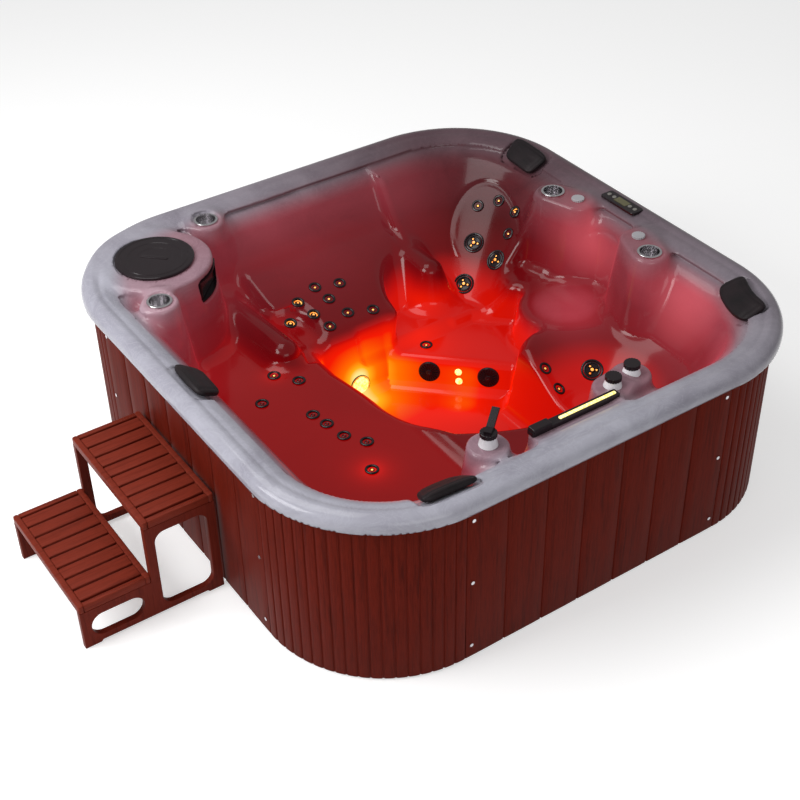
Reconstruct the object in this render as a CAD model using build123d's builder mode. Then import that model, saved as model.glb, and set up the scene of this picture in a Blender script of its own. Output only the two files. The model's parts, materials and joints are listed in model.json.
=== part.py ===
from build123d import *
from math import asin, atan2, cos, degrees, hypot, radians, sin, sqrt, tan
import os

os.makedirs("parts", exist_ok=True)

# Tub envelope. The origin is the centre of the base on the floor, +Z is up.
# The step side faces -X and the service side faces -Y.
tub_side = 2200
tub_height = 750
rim_corner_radius = 525
lip_drop = 55
rim_outer_round = 35
rim_inner_round = 80
rim_width = 138
acrylic_wall = 8

# Basin and seats, heights above the floor
basin_draft = 28
seat_level = 400
well_floor = 80
well_draft = 8
foot_step_level = 220
lounger_level = 370
lounger_far = 560
lounger_corner = 110
lounger_right = 230
bench_left = 350
bench_right = 370
bench_front_level = 372
bench_rise = 15
corner_seat_level = 258
bowl_level = 270

# Footwell walls, measured at its floor
well_left = 250
well_near = 520
well_far = 310
well_right = 320
well_diagonal = 244
well_corner_x = 395
foot_step_reach = 575
well_corner_round = 90
well_nook = 55
foot_step_left = 60
foot_step_inset = 75
foot_step_inner = 40
foot_step_overlap = 60
foot_step_edge = 30

# Captain seat, a round seat on top of a round pedestal
captain_inset = 385
captain_offset = -5
captain_radius = 190
captain_draft = 8
pedestal_spread = 25
alcove_drop = 50

# Far corner seat, an oblique cone from its floor to the basin wall under the rim
corner_seat_distance = 455
corner_seat_radius = 218
corner_wall_drop = 45
corner_wall_ledge = 5
corner_fill_left = 385
corner_fill_near = 335
# Right seat, a shallow round bowl
bowl_inset = 624
bowl_floor_radius = 100
bowl_top_radius = 300

# Filter tower in the left corner
tower_inset_x = 364
tower_inset_y = 310
tower_radius = 225
lid_recess = 12
lid_recess_radius = 160
canister_radius = 140
canister_wall = 4
canister_depth = 300
canister_gap = 3
throat_width = 178
throat_height = 84
throat_drop = 88
throat_reach = 212
throat_clearance = 4
canister_flange = 14
housing_proud = 7
flange_thickness = 3
weir_reach = 205
weir_pin_radius = 2.6
weir_pin_play = 0.4
weir_height = 74
weir_thickness = 4
weir_gap = 3
weir_pin_inset = 2
cartridge_radius = 82
cartridge_bore = 25
cartridge_height = 235
lid_gap = 4
lid_round = 3
lid_grip_length = 110
lid_grip_width = 26
lid_bar_length = 90
lid_bar_width = 10
lid_grip_depth = 3

# Skirt and frame
skirt_inset = 32
skirt_thickness = 14
skirt_corner_radius = 488
skirt_floor_gap = 8
skirt_top_gap = 36
slat_groove_width = 5
slat_groove_depth = 3
slats_per_corner = 18
boards_per_panel = 7
panel_joint_gap = 2
frame_gap = 4
frame_rail = 35
base_thickness = 8
notch_gap = 2
screw_shank_radius = 3
screw_head_radius = 7
screw_clearance = 0.3
screw_head_height = 3
screw_edge = 25
screw_low = 56
screw_high = 76

# Jets and lights
large_bezel_radius = 46
large_face_radius = 35
large_body_radius = 32
large_body_depth = 70
small_bezel_radius = 27
small_body_radius = 14
small_body_depth = 45
bezel_thickness = 5
face_clearance = 1
body_clearance = 1
surface_gap = 1.2
nozzle_wall = 4
nozzle_taper = 6
large_body_wall = 5
face_stem = 22
face_port_radius = 7
face_port_depth = 14
bezel_edge = 2
face_edge = 1.5
pad_gap = 0.4
suction_radius = 46
suction_height = 14
suction_body_radius = 30
suction_slots = 10
suction_slot_reach = 26
suction_slot_length = 20
suction_slot_width = 5
light_radius = 45
light_body_step = 7
light_rim = 8
lens_play = 0.5
lens_proud = 6
spot_radius = 15
spot_rim = 5

# Pilasters, armrests and the ledge of the waterfall
pilaster_radius = 72
pilaster_draft = 7
armrest_radius = 42
armrest_draft = 20
armrest_level = 455
lever_drop = 28
diverter_drop = 42
spout_length = 385
spout_x = -10
spout_drop = 38
spout_inset = 215
spout_ledge = 110

# Cup holders, pillows and the rim's controls
cup_radius = 40
cup_depth = 75
cup_wall = 2.5
cup_flange = 7
cup_drop = 14
cup_recess_radius = 56
pillow_length = 225
pillow_height = 118
pillow_thickness = 34
pillow_round = 12
pillow_corner = 30
pillow_gap = 4
pillow_seat_gap = 2
pillow_sink = 26
pillow_tilt = 31
panel_length = 200
panel_width = 64
panel_corner = 12
panel_recess = 5
panel_proud = 6
panel_inset = 77
panel_offset = 33
panel_edge = 2
display_length = 70
display_width = 34
display_well = 3
display_proud = 1
button_names = ["warmer", "jets", "light", "cooler"]
button_offsets = [-78, -48, 48, 78]
button_radius = 9
button_travel = 1.2
button_proud = 2.5
button_well = 7
button_clearance = 0.6
knob_radius = 30
knob_height = 16
knob_grip_radius = 3.5
knob_grips = 18
knob_base_radius = 34
knob_base_top_radius = 26
knob_base_height = 26
lever_base_height = 36
knob_shaft_radius = 8
knob_shaft_below = 30
shaft_clearance = 0.5
stack_gap = 0.5
lever_reach = 95
lever_rise = 40
lever_width = 26
lever_thickness = 9
lever_sink = 2
lever_heading = 37
air_knob_radius = 27
air_knob_height = 9
spout_bar_depth = 36
spout_bar_height = 16
spout_mouth_height = 6
spout_block_length = 80
spout_block_height = 28
spout_block_inset = 4
spout_corner = 6
spout_edge = 4
spout_lip = 2
strip_start = -76
strip_end = 172
strip_width = 12
strip_height = 8
strip_corner = 3
strip_edge = 2

# Steps beside the tub
step_gap = 11
step_centre_y = 26
step_width = 576
tread_depth = 275
lower_tread_top = 200
upper_tread_top = 443
tread_frame_height = 32
tread_border = 22
tread_corner = 12
tread_ledge = 8
tread_play = 0.5
slats_per_tread = 8
slat_gap = 10
slat_thickness = 16
side_thickness = 24
side_bar = 36
side_round = 60
side_foot_length = 60
side_foot_height = 8

# Equipment under the seats
motor_x = -600
motor_y = -350
motor_radius = 85
motor_length = 270
motor_fins = 24
motor_fin_depth = 5
wet_end_radius = 98
wet_end_length = 105
pump_foot_height = 24
pump_foot_width = 110
small_pump_x = -400
small_pump_y = -500
small_pump_radius = 48
small_pump_length = 175
heater_x = -430
heater_y = 0
heater_level = 120
heater_radius = 38
heater_length = 360
saddle_width = 56
saddle_thickness = 24
box_x = -700
box_y = 270
box_length = 300
box_depth = 120
box_height = 240
box_lid_thickness = 6
blower_x = 560
blower_y = -560
blower_radius = 88
blower_height = 160
neck_length = 14
neck_wall = 6
pipe_radius = 24
pipe_wall = 3
pipe_bend = 45
pipe_low = 38
pipe_high = 285

# Drain and power entry on the back panel
service_x = 331
service_level = 80
spigot_radius = 13
spigot_bore = 8
spigot_length = 30
valve_radius = 20
valve_length = 60
gland_bore = 9
gland_radius = 15
gland_length = 24
service_clearance = 1

half = tub_side / 2
corner_wall_top = tub_height - corner_wall_drop
throat_level = tub_height - throat_drop
lever_level = tub_height - lever_drop
diverter_level = tub_height - diverter_drop
spout_level = tub_height - spout_drop
cup_level = tub_height - cup_drop
basin_top = half - rim_width
draft_slope = tan(radians(basin_draft))
basin_foot = basin_top - (tub_height - seat_level) * draft_slope
rim_basin_radius = rim_corner_radius - rim_width
basin_foot_radius = rim_basin_radius - (tub_height - seat_level) * draft_slope
captain_x = half - captain_inset
bowl_centre = half - bowl_inset
tower_x = -(half - tower_inset_x)
tower_y = half - tower_inset_y
corner_centre = basin_top - rim_basin_radius
cut_over = 20
block_base = 40
block_border = 66
boss_base = seat_level - 60
bench_pocket = 12
root_half = sqrt(0.5)
corner_wall_radius = rim_basin_radius - (tub_height - corner_wall_top) * draft_slope
corner_seat_rise = corner_wall_top - corner_seat_level
corner_seat_run = corner_centre / root_half - corner_seat_distance


def save(solid, label):
    solid.label = label
    export_step(solid, "parts/" + label + ".step")


def basin_wall(height):
    """Distance from the centre plane to the basin wall at a height."""
    return basin_top - (tub_height - height) * draft_slope


def corner_cone(height):
    """Centre distance along the far diagonal and radius of the corner seat at a height."""
    share = (height - corner_seat_level) / corner_seat_rise
    distance = corner_seat_distance + share * corner_seat_run
    radius = corner_seat_radius + share * (corner_wall_radius - corner_seat_radius)
    return distance, radius


def corner_wall_plane(sideways, height):
    """Plane lying on the corner seat's back wall, its normal towards the basin."""
    distance, radius = corner_cone(height)
    turn = asin(sideways / radius)
    along = distance + radius * cos(turn)
    lean = corner_seat_run * cos(turn) + corner_wall_radius - corner_seat_radius
    origin = ((along - sideways) * root_half, (along + sideways) * root_half, height)
    out_u = -corner_seat_rise * cos(turn)
    out_v = -corner_seat_rise * sin(turn)
    normal = ((out_u - out_v) * root_half, (out_u + out_v) * root_half, lean)
    return Plane(origin=origin, z_dir=normal)


def bowl_plane(turn, height):
    """Plane lying on the right seat's bowl, at a compass angle about its centre."""
    slope = (bowl_top_radius - bowl_floor_radius) / (seat_level - bowl_level)
    radius = bowl_floor_radius + (height - bowl_level) * slope
    outward = (cos(radians(turn)), sin(radians(turn)))
    origin = (bowl_centre + radius * outward[0], -bowl_centre + radius * outward[1], height)
    return Plane(origin=origin, z_dir=(-outward[0], -outward[1], slope))


def bench_height(y):
    return bench_front_level + (y - well_far) * tan(radians(bench_rise))


def bench_plane(x, y):
    """Plane lying on the sloping bench seat."""
    tilt = radians(bench_rise)
    return Plane(origin=(x, y, bench_height(y)), x_dir=(1, 0, 0), z_dir=(0, -sin(tilt), cos(tilt)))


def flat_plane(x, y, height):
    return Plane(origin=(x, y, height), z_dir=(0, 0, 1))


def diagonal_plane(sideways, height):
    """Plane lying on the footwell's diagonal wall, its normal towards the near corner."""
    lean = radians(well_draft)
    along = well_diagonal + (height - well_floor) * tan(lean)
    origin = ((along - sideways) * root_half, (along + sideways) * root_half, height)
    flat = -cos(lean) * root_half
    return Plane(origin=origin, z_dir=(flat, flat, sin(lean)))


def well_far_plane(x, height):
    """Plane lying on the bench's front wall, facing the near side."""
    lean = radians(well_draft)
    y = well_far + (height - well_floor) * tan(lean)
    return Plane(origin=(x, y, height), x_dir=(1, 0, 0), z_dir=(0, -cos(lean), sin(lean)))


# Pilasters stand on the seat level and carry cups, air controls and diverters.
# Each one is a start point, an end point and a radius at its top.
cup_places = [
    (-(half - 245), half - 585),
    (-426, half - 155),
    (half - 228, 295),
    (half - 225, -300),
]
air_knob_places = [(half - 190, 178), (half - 185, -190)]
diverter_places = [(-350, -(half - 230)), (209, -(half - 250)), (312, -(half - 269))]
armrests = [
    ((-420, 372), (-440, basin_foot)),
    ((395, 520), (400, basin_foot)),
]
diverter_levels = [lever_level, diverter_level, diverter_level]

large_jets = [
    corner_wall_plane(-74, 431),
    corner_wall_plane(-183, 408),
    corner_wall_plane(-52, 304),
    bowl_plane(52, 313),
]
corner_small_jets = [(-71, 543), (-163, 576), (-243, 570), (-225, 500)]
bench_jets = [
    (-115, 624), (-223, 583), (-310, 500), (-68, 447), (-175, 416),
    (35, 415), (-97, 545), (-200, 500), (-9, 600),
]
lounger_jets = [
    (-513, 294), (-450, 209), (-642, 165), (-519, -7), (-505, -84),
    (-491, -182), (-441, -261), (-514, -405),
]
small_jets_places = (
    [corner_wall_plane(*place) for place in corner_small_jets]
    + [bench_plane(*place) for place in bench_jets]
    + [flat_plane(x, y, lounger_level) for x, y in lounger_jets]
    + [bowl_plane(120, 299), bowl_plane(110, 350), flat_plane(214, 288, foot_step_level)]
)
suction_places = [
    diagonal_plane(22, 160),
    diagonal_plane(-226, 160),
    flat_plane(20, -200, well_floor),
]
main_light_place = well_far_plane(-103, 132)
spot_places = [diagonal_plane(-100, 170), diagonal_plane(-104, 128)]


def pillow_plane(base_x, base_y, direction, reach):
    """Plane touching the rim's rounded inner edge, tilted towards the bather."""
    tilt = radians(pillow_tilt)
    outward = (cos(radians(direction)), sin(radians(direction)))
    ring = reach + rim_inner_round * tan(radians(90 - basin_draft) / 2)
    touch = ring - rim_inner_round * sin(tilt)
    height = tub_height - rim_inner_round * (1 - cos(tilt))
    origin = (base_x + touch * outward[0], base_y + touch * outward[1], height)
    normal = (-sin(tilt) * outward[0], -sin(tilt) * outward[1], cos(tilt))
    return Plane(origin=origin, x_dir=(-outward[1], outward[0], 0), z_dir=normal)


pillow_places = [
    pillow_plane(corner_centre, corner_centre, 5, rim_basin_radius),
    pillow_plane(corner_centre, -corner_centre, -25, rim_basin_radius),
    pillow_plane(-corner_centre, -corner_centre, 266, rim_basin_radius),
    pillow_plane(0, -10, 180, basin_top),
]
pillow_names = ["far", "right", "near", "left"]


def cut_pocket(outline, floor, top, draft, lowered, bottom_round=0):
    """One drafted hollow of the basin, floor and walls moved out by the skin."""
    with BuildPart() as pocket:
        with BuildSketch(Plane.XY.offset(floor - lowered)):
            add(outline)
            if lowered:
                offset(amount=lowered, kind=Kind.INTERSECTION)
        extrude(amount=top - floor + lowered, taper=-draft)
        if bottom_round:
            fillet(pocket.edges().group_by(Axis.Z)[0], bottom_round)
    return pocket.part


def boss_outline(start, end, radius):
    run_x, run_y = end[0] - start[0], end[1] - start[1]
    middle = ((start[0] + end[0]) / 2, (start[1] + end[1]) / 2)
    with BuildSketch() as outline:
        with Locations(middle):
            if start == end:
                Circle(radius)
            else:
                turn = degrees(atan2(run_y, run_x))
                SlotCenterToCenter(hypot(run_x, run_y), 2 * radius, rotation=turn)
    return outline.sketch


def raise_boss(start, end, radius, top, draft, lowered):
    """One drafted boss on the seats, its skin moved in when lowered."""
    spread = (top - boss_base) * tan(radians(draft))
    with BuildPart() as boss:
        with BuildSketch(Plane.XY.offset(boss_base)):
            add(boss_outline(start, end, radius + spread - lowered))
        with BuildSketch(Plane.XY.offset(top - lowered)):
            add(boss_outline(start, end, radius - lowered))
        loft(ruled=True)
    return boss.part


def well_outline():
    diagonal = well_diagonal / root_half
    with BuildSketch() as well:
        with BuildLine():
            Polyline(
                (-well_left, -well_near),
                (well_right, -well_near),
                (well_right, well_right - well_corner_x - well_nook),
                (well_corner_x, diagonal - well_corner_x),
                (diagonal - well_far, well_far),
                (-well_left, well_far),
                close=True,
            )
        make_face()
        corners = well.vertices().sort_by(Axis.Y)
        fillet(corners[:2], well_corner_round)
    return well.sketch


def foot_step_outline():
    reach = foot_step_reach / root_half
    front = well_far + (foot_step_level - well_floor) * tan(radians(well_draft))
    inner = captain_x - foot_step_inset
    with BuildSketch() as step:
        with BuildLine():
            Polyline(
                (-foot_step_left, front),
                (reach - front, front),
                (inner, reach - inner),
                (inner, captain_offset - well_nook),
                (well_right + foot_step_edge, captain_offset - well_nook),
                (well_right - foot_step_overlap, foot_step_inner),
                close=True,
            )
        make_face()
        with Locations((captain_x, captain_offset)):
            Circle(captain_radius + pedestal_spread, mode=Mode.SUBTRACT)
    return step.sketch


def lounger_outline():
    left = -basin_foot + (seat_level - lounger_level) * draft_slope
    right = -lounger_right
    near = left
    with BuildSketch() as lounger:
        with Locations(((left + right) / 2, (near + lounger_far) / 2)):
            RectangleRounded(right - left, lounger_far - near, lounger_corner)
    return lounger.sketch


def bench_outline():
    """Strip at the bench's front edge, where the sloping seat lies under the seat level."""
    with BuildSketch() as strip:
        with Locations((-bench_left, well_far)):
            depth = bench_pocket + (seat_level - bench_front_level) / tan(radians(bench_rise))
            Rectangle(bench_left + bench_right, depth, align=(Align.MIN, Align.MIN))
    return strip.sketch


def corner_seat_cone(lowered):
    low = corner_seat_distance * root_half
    with BuildPart() as cone:
        with BuildSketch(Plane.XY.offset(corner_seat_level - lowered)):
            with Locations((low, low)):
                Circle(corner_seat_radius + lowered)
        with BuildSketch(Plane.XY.offset(corner_wall_top - lowered)):
            with Locations((corner_centre, corner_centre)):
                Circle(corner_wall_radius + lowered)
        loft()
    return cone.part


def corner_seat_back(lowered):
    """Filling behind the corner seat, hollowed by its cone, up to a thin ledge under the rim."""
    outer = basin_top + block_border
    with BuildPart() as back:
        with BuildSketch(Plane.XY.offset(boss_base)):
            with Locations((outer, outer)):
                width = outer - corner_fill_left - lowered
                depth = outer - corner_fill_near - lowered
                Rectangle(width, depth, align=(Align.MAX, Align.MAX))
        extrude(amount=corner_wall_top - corner_wall_ledge - lowered - boss_base)
        add(corner_seat_cone(lowered), mode=Mode.SUBTRACT)
    return back.part


def deck_block(lowered):
    """Block under the rim that holds every seat, up to the deck."""
    bottom = well_floor - block_base
    side = 2 * (basin_top + block_border + lowered)
    with BuildPart() as block:
        with BuildSketch(Plane.XY.offset(bottom - lowered)):
            RectangleRounded(side, side, rim_basin_radius + block_border)
        extrude(amount=tub_height - bottom)
    return block.part


def mould(lowered):
    """Solid mould whose upper surface is the acrylic skin, lowered by its wall."""
    with BuildPart() as form:
        with BuildSketch(Plane.XY.offset(tub_height - lip_drop)):
            side = tub_side - 2 * lowered
            RectangleRounded(side, side, rim_corner_radius - lowered)
        extrude(amount=lip_drop - lowered)
        fillet(form.edges().group_by(Axis.Z)[-1], rim_outer_round - lowered)
        add(deck_block(lowered))
        with BuildSketch(Plane.XY.offset(seat_level - lowered)):
            side = 2 * (basin_foot + lowered)
            RectangleRounded(side, side, basin_foot_radius + lowered)
        extrude(amount=tub_height - seat_level + cut_over, taper=-basin_draft, mode=Mode.SUBTRACT)
        deck = form.faces().sort_by(Axis.Z)[-1]
        fillet(deck.inner_wires()[0].edges(), rim_inner_round - lowered)
        for piece in seat_hollows(lowered):
            add(piece, mode=Mode.SUBTRACT)
        for piece in seat_bosses(lowered):
            add(piece & deck_block(lowered))
        with BuildSketch(Plane.XY.offset(tub_height - lid_recess - lowered)):
            with Locations((tower_x, tower_y)):
                Circle(lid_recess_radius + lowered)
        extrude(amount=lid_recess + lowered + cut_over, mode=Mode.SUBTRACT)
        with BuildSketch(Plane.XY.offset(cup_level - lowered)):
            with Locations(*cup_places):
                Circle(cup_recess_radius + lowered)
        extrude(amount=tub_height - cup_level + lowered, mode=Mode.SUBTRACT)
        add(pillow_recesses(lowered), mode=Mode.SUBTRACT)
    return form.part


def pillow_recesses(lowered):
    """Flat recesses over the rim's inner edge that the pillows lie in."""
    with BuildPart() as recesses:
        for place in pillow_places:
            with BuildSketch(place.offset(-pillow_sink - lowered)):
                RectangleRounded(
                    pillow_length + 2 * (pillow_gap + lowered),
                    pillow_height + 2 * (pillow_gap + lowered),
                    pillow_corner + pillow_gap + lowered,
                )
            extrude(amount=pillow_sink + lowered + 4 * cut_over)
    return recesses.part


def seat_hollows(lowered):
    above = seat_level + cut_over
    yield cut_pocket(well_outline(), well_floor, above, well_draft, lowered)
    yield cut_pocket(foot_step_outline(), foot_step_level, above, captain_draft, lowered)
    yield cut_pocket(lounger_outline(), lounger_level, above, basin_draft, lowered)
    with BuildPart() as alcove:
        with BuildSketch(Plane.XY.offset(seat_level - lowered)):
            with Locations((captain_x, captain_offset)):
                Circle(captain_radius + lowered)
        extrude(amount=tub_height - alcove_drop - seat_level, taper=-captain_draft)
    yield alcove.part
    yield cut_pocket(bench_outline(), bench_front_level - bench_pocket, above, 0, lowered)
    yield corner_seat_cone(lowered)
    with BuildPart() as bowl:
        with Locations((bowl_centre, -bowl_centre, (bowl_level + seat_level - lowered) / 2)):
            rise = seat_level - bowl_level + lowered
            Cone(bowl_floor_radius + lowered, bowl_top_radius + lowered, rise)
    yield bowl.part


def seat_bosses(lowered):
    for start, top in zip(diverter_places, diverter_levels):
        yield raise_boss(start, start, pilaster_radius, top, pilaster_draft, lowered)
    for start in cup_places[:2]:
        yield raise_boss(start, start, pilaster_radius, cup_level, pilaster_draft, lowered)
    for start, end in zip(cup_places[2:], air_knob_places):
        yield raise_boss(start, end, pilaster_radius, cup_level, pilaster_draft, lowered)
    for start, end in armrests:
        yield raise_boss(start, end, armrest_radius, armrest_level, armrest_draft, lowered)
    tower = (tower_x, tower_y)
    yield raise_boss(tower, tower, tower_radius, tub_height - lid_recess, pilaster_draft, lowered)
    yield corner_seat_back(lowered)
    with BuildPart() as spout:
        with BuildSketch(Plane.XY.offset(boss_base)):
            with Locations((spout_x, -(half - spout_inset + spout_ledge / 2))):
                Rectangle(spout_length - 2 * lowered, spout_ledge - 2 * lowered)
        extrude(amount=spout_level - boss_base - lowered)
    yield spout.part
    with BuildPart() as bench:
        with BuildSketch(Plane.YZ.offset(-bench_left + lowered)):
            back = basin_foot + block_border
            with BuildLine():
                Polyline(
                    (well_far, well_floor),
                    (well_far, bench_front_level - lowered),
                    (back, bench_height(back) - lowered),
                    (back, well_floor),
                    close=True,
                )
            make_face()
        extrude(amount=bench_left + bench_right - 2 * lowered)
        above = bench_height(back)
        add(cut_pocket(well_outline(), well_floor, above, well_draft, lowered), mode=Mode.SUBTRACT)
        step = cut_pocket(foot_step_outline(), foot_step_level, above, captain_draft, lowered)
        add(step, mode=Mode.SUBTRACT)
    yield bench.part


def jet_holes(places, radius):
    with Locations(*places):
        Cylinder(radius, 6 * acrylic_wall, mode=Mode.SUBTRACT)


def jet_pads(places, radius):
    """Flat seats for the bezels where the wall behind them is curved."""
    with Locations(*[place.offset(surface_gap - pad_gap).location for place in places]):
        Cylinder(radius + body_clearance, 3 * acrylic_wall, mode=Mode.SUBTRACT,
                 align=(Align.CENTER, Align.CENTER, Align.MIN))


throat_plane = Plane(origin=(tower_x, tower_y, throat_level), z_dir=(1, -1, 0))
deck_underside = tub_height - acrylic_wall
panel_x = half - panel_inset
diverter_planes = [flat_plane(x, y, z) for (x, y), z in zip(diverter_places, diverter_levels)]

with BuildPart() as acrylic_shell:
    add(mould(0))
    add(mould(acrylic_wall), mode=Mode.SUBTRACT)
    jet_holes(large_jets, large_body_radius + body_clearance)
    jet_holes(small_jets_places, small_body_radius + body_clearance)
    jet_pads(large_jets, large_bezel_radius)
    jet_pads(small_jets_places, small_bezel_radius)
    jet_holes(suction_places, suction_body_radius + body_clearance)
    jet_holes(spot_places, spot_radius - spot_rim + body_clearance)
    jet_holes([main_light_place], light_radius - light_body_step + body_clearance)
    for x, y in cup_places:
        jet_holes([flat_plane(x, y, cup_level)], cup_radius + cup_wall + body_clearance)
    for x, y in air_knob_places:
        jet_holes([flat_plane(x, y, cup_level)], knob_shaft_radius + body_clearance)
    jet_holes(diverter_planes, knob_shaft_radius + body_clearance)
    jet_holes([flat_plane(tower_x, tower_y, tub_height - lid_recess)], canister_radius + canister_gap)
    with BuildSketch(throat_plane.offset(tower_radius - 4 * acrylic_wall)):
        opening_edge = 2 * (canister_wall + throat_clearance)
        Rectangle(throat_width + opening_edge, throat_height + opening_edge)
    extrude(amount=6 * acrylic_wall, mode=Mode.SUBTRACT)
    with BuildSketch(Plane.XY.offset(tub_height - panel_recess)):
        with Locations((panel_x, panel_offset)):
            Rectangle(panel_width + 2 * body_clearance, panel_length + 2 * body_clearance)
    extrude(amount=cut_over, mode=Mode.SUBTRACT)
print("shell", acrylic_shell.part.is_valid, len(acrylic_shell.part.solids()))
save(acrylic_shell.part, "acrylic_shell")

# Skirt panels, built on the near side (-Y) and turned to their own sides
skirt_half = half - skirt_inset
skirt_top = tub_height - skirt_top_gap
skirt_height = skirt_top - skirt_floor_gap
straight_half = skirt_half - skirt_corner_radius
screw_x = straight_half - screw_edge
screw_levels = [skirt_floor_gap + screw_low, (skirt_floor_gap + skirt_top) / 2, skirt_top - screw_high]
frame_half = skirt_half - skirt_thickness - frame_gap
frame_radius = skirt_corner_radius - skirt_thickness - frame_gap
screw_places = [
    Plane(origin=(side * screw_x, -skirt_half, level), z_dir=(0, -1, 0))
    for side in (-1, 1)
    for level in screw_levels
]

with BuildPart() as flat_panel:
    with BuildSketch(Plane.XY.offset(skirt_floor_gap)):
        with Locations((0, -skirt_half + skirt_thickness / 2)):
            Rectangle(2 * straight_half - panel_joint_gap, skirt_thickness)
        board = 2 * straight_half / boards_per_panel
        with Locations((0, -skirt_half)):
            with GridLocations(board, 1, boards_per_panel - 1, 1):
                Rectangle(slat_groove_width, 2 * slat_groove_depth, mode=Mode.SUBTRACT)
    extrude(amount=skirt_height)
    jet_holes(screw_places, screw_shank_radius + screw_clearance)

with BuildPart() as corner_panel:
    with BuildSketch(Plane.XY.offset(skirt_floor_gap)):
        with Locations((-straight_half, -straight_half)):
            Circle(skirt_corner_radius)
            Circle(skirt_corner_radius - skirt_thickness, mode=Mode.SUBTRACT)
            reach = skirt_corner_radius
            Rectangle(reach, reach, align=(Align.MAX, Align.MAX), mode=Mode.INTERSECT)
            turn = 90 / slats_per_corner
            with PolarLocations(skirt_corner_radius, slats_per_corner - 1, 180 + turn, 90 - 2 * turn,
                                endpoint=True):
                Rectangle(2 * slat_groove_depth, slat_groove_width, mode=Mode.SUBTRACT)
    extrude(amount=skirt_height)

flat_names = ["front", "right", "back", "left"]
corner_names = ["near", "right", "far", "filter"]
for index, (flat_name, corner_name) in enumerate(zip(flat_names, corner_names)):
    if flat_name != "back":
        save(flat_panel.part.rotate(Axis.Z, 90 * index), "skirt_" + flat_name)
    save(corner_panel.part.rotate(Axis.Z, 90 * index), "skirt_corner_" + corner_name)

drain_plane = Plane(origin=(-service_x, skirt_half, service_level), z_dir=(0, 1, 0))
power_plane = Plane(origin=(service_x, skirt_half, service_level), z_dir=(0, 1, 0))
with BuildPart() as back_panel:
    add(flat_panel.part.rotate(Axis.Z, 180))
    jet_holes([drain_plane], valve_radius + service_clearance)
    jet_holes([power_plane], gland_radius + service_clearance)
save(back_panel.part, "skirt_back")

screw_reach = skirt_thickness + frame_gap
with BuildPart() as panel_screws:
    for index in range(4):
        spin = Rotation(0, 0, 90 * index)
        with Locations(*[spin * place.location for place in screw_places]):
            Cylinder(screw_shank_radius, screw_reach, align=(Align.CENTER, Align.CENTER, Align.MAX))
            Cylinder(screw_head_radius, screw_head_height,
                     align=(Align.CENTER, Align.CENTER, Align.MIN))
save(panel_screws.part, "panel_screws")

# Frame and base


def frame_ring(level, height):
    inner = frame_half - frame_rail
    with BuildPart() as ring:
        with BuildSketch(Plane.XY.offset(level)):
            RectangleRounded(2 * frame_half, 2 * frame_half, frame_radius)
            RectangleRounded(2 * inner, 2 * inner, frame_radius - frame_rail, mode=Mode.SUBTRACT)
        extrude(amount=height)
    return ring.part


post_bottom = base_thickness + frame_rail
post_top = deck_underside - frame_rail
save(frame_ring(base_thickness, frame_rail), "frame_lower_rail")
with BuildPart() as frame_upper_rail:
    add(frame_ring(post_top, frame_rail))
    add(pillow_recesses(acrylic_wall + notch_gap), mode=Mode.SUBTRACT)
save(frame_upper_rail.part, "frame_upper_rail")
with BuildPart() as frame_posts:
    with BuildSketch(Plane.XY.offset(post_bottom)):
        centre = frame_half - frame_rail / 2
        for index in range(4):
            with Locations(Rotation(0, 0, 90 * index)):
                with Locations((-screw_x, -centre), (0, -centre), (screw_x, -centre)):
                    Rectangle(frame_rail, frame_rail)
    extrude(amount=post_top - post_bottom)
save(frame_posts.part, "frame_posts")
with BuildPart() as base_pan:
    with BuildSketch():
        RectangleRounded(2 * frame_half, 2 * frame_half, frame_radius)
    extrude(amount=base_thickness)
save(base_pan.part, "base_pan")
print("skirt and frame done")

# Filter tower: canister with its throat, weir, cartridge and lid
tower_shelf = tub_height - lid_recess
canister_bottom = tower_shelf - canister_depth
shelf_plane = Plane.XY.offset(tower_shelf)
tower_point = (tower_x, tower_y)
weir_pin_level = throat_level - throat_height / 2 + weir_pin_radius + weir_pin_inset
weir_pin_plane = Plane(
    origin=(tower_x + weir_reach * root_half, tower_y - weir_reach * root_half, weir_pin_level),
    x_dir=(-1, 1, 0),
    z_dir=(1, 1, 0),
)

with BuildPart() as skimmer_housing:
    outer_width = throat_width + 2 * canister_wall
    outer_height = throat_height + 2 * canister_wall
    with BuildSketch(throat_plane):
        Rectangle(outer_width, outer_height)
    extrude(amount=throat_reach + canister_radius)
    with Locations((tower_x, tower_y, throat_level)):
        Cylinder(tower_radius + housing_proud, canister_depth, mode=Mode.INTERSECT)
    with BuildSketch(Plane.XY.offset(canister_bottom)):
        with Locations(tower_point):
            Circle(canister_radius)
    extrude(amount=canister_depth)
    with BuildSketch(shelf_plane):
        with Locations(tower_point):
            Circle(canister_radius + canister_flange)
    extrude(amount=flange_thickness)
    with BuildSketch(Plane.XY.offset(canister_bottom + canister_wall)):
        with Locations(tower_point):
            Circle(canister_radius - canister_wall)
    extrude(amount=canister_depth, mode=Mode.SUBTRACT)
    with BuildSketch(throat_plane.offset(canister_radius / 2)):
        Rectangle(throat_width, throat_height)
    extrude(amount=2 * tower_radius, mode=Mode.SUBTRACT)
    with Locations(weir_pin_plane):
        Cylinder(weir_pin_radius + weir_pin_play, outer_width + canister_wall, mode=Mode.SUBTRACT)
save(skimmer_housing.part, "skimmer_housing")

with BuildPart() as skimmer_weir:
    flap_width = throat_width - 2 * weir_gap
    with Locations(weir_pin_plane):
        Cylinder(weir_pin_radius, throat_width + canister_wall)
    with BuildSketch(weir_pin_plane):
        with Locations((0, weir_height / 2)):
            Rectangle(weir_thickness, weir_height)
    extrude(amount=flap_width / 2, both=True)
save(skimmer_weir.part, "skimmer_weir")

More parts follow.
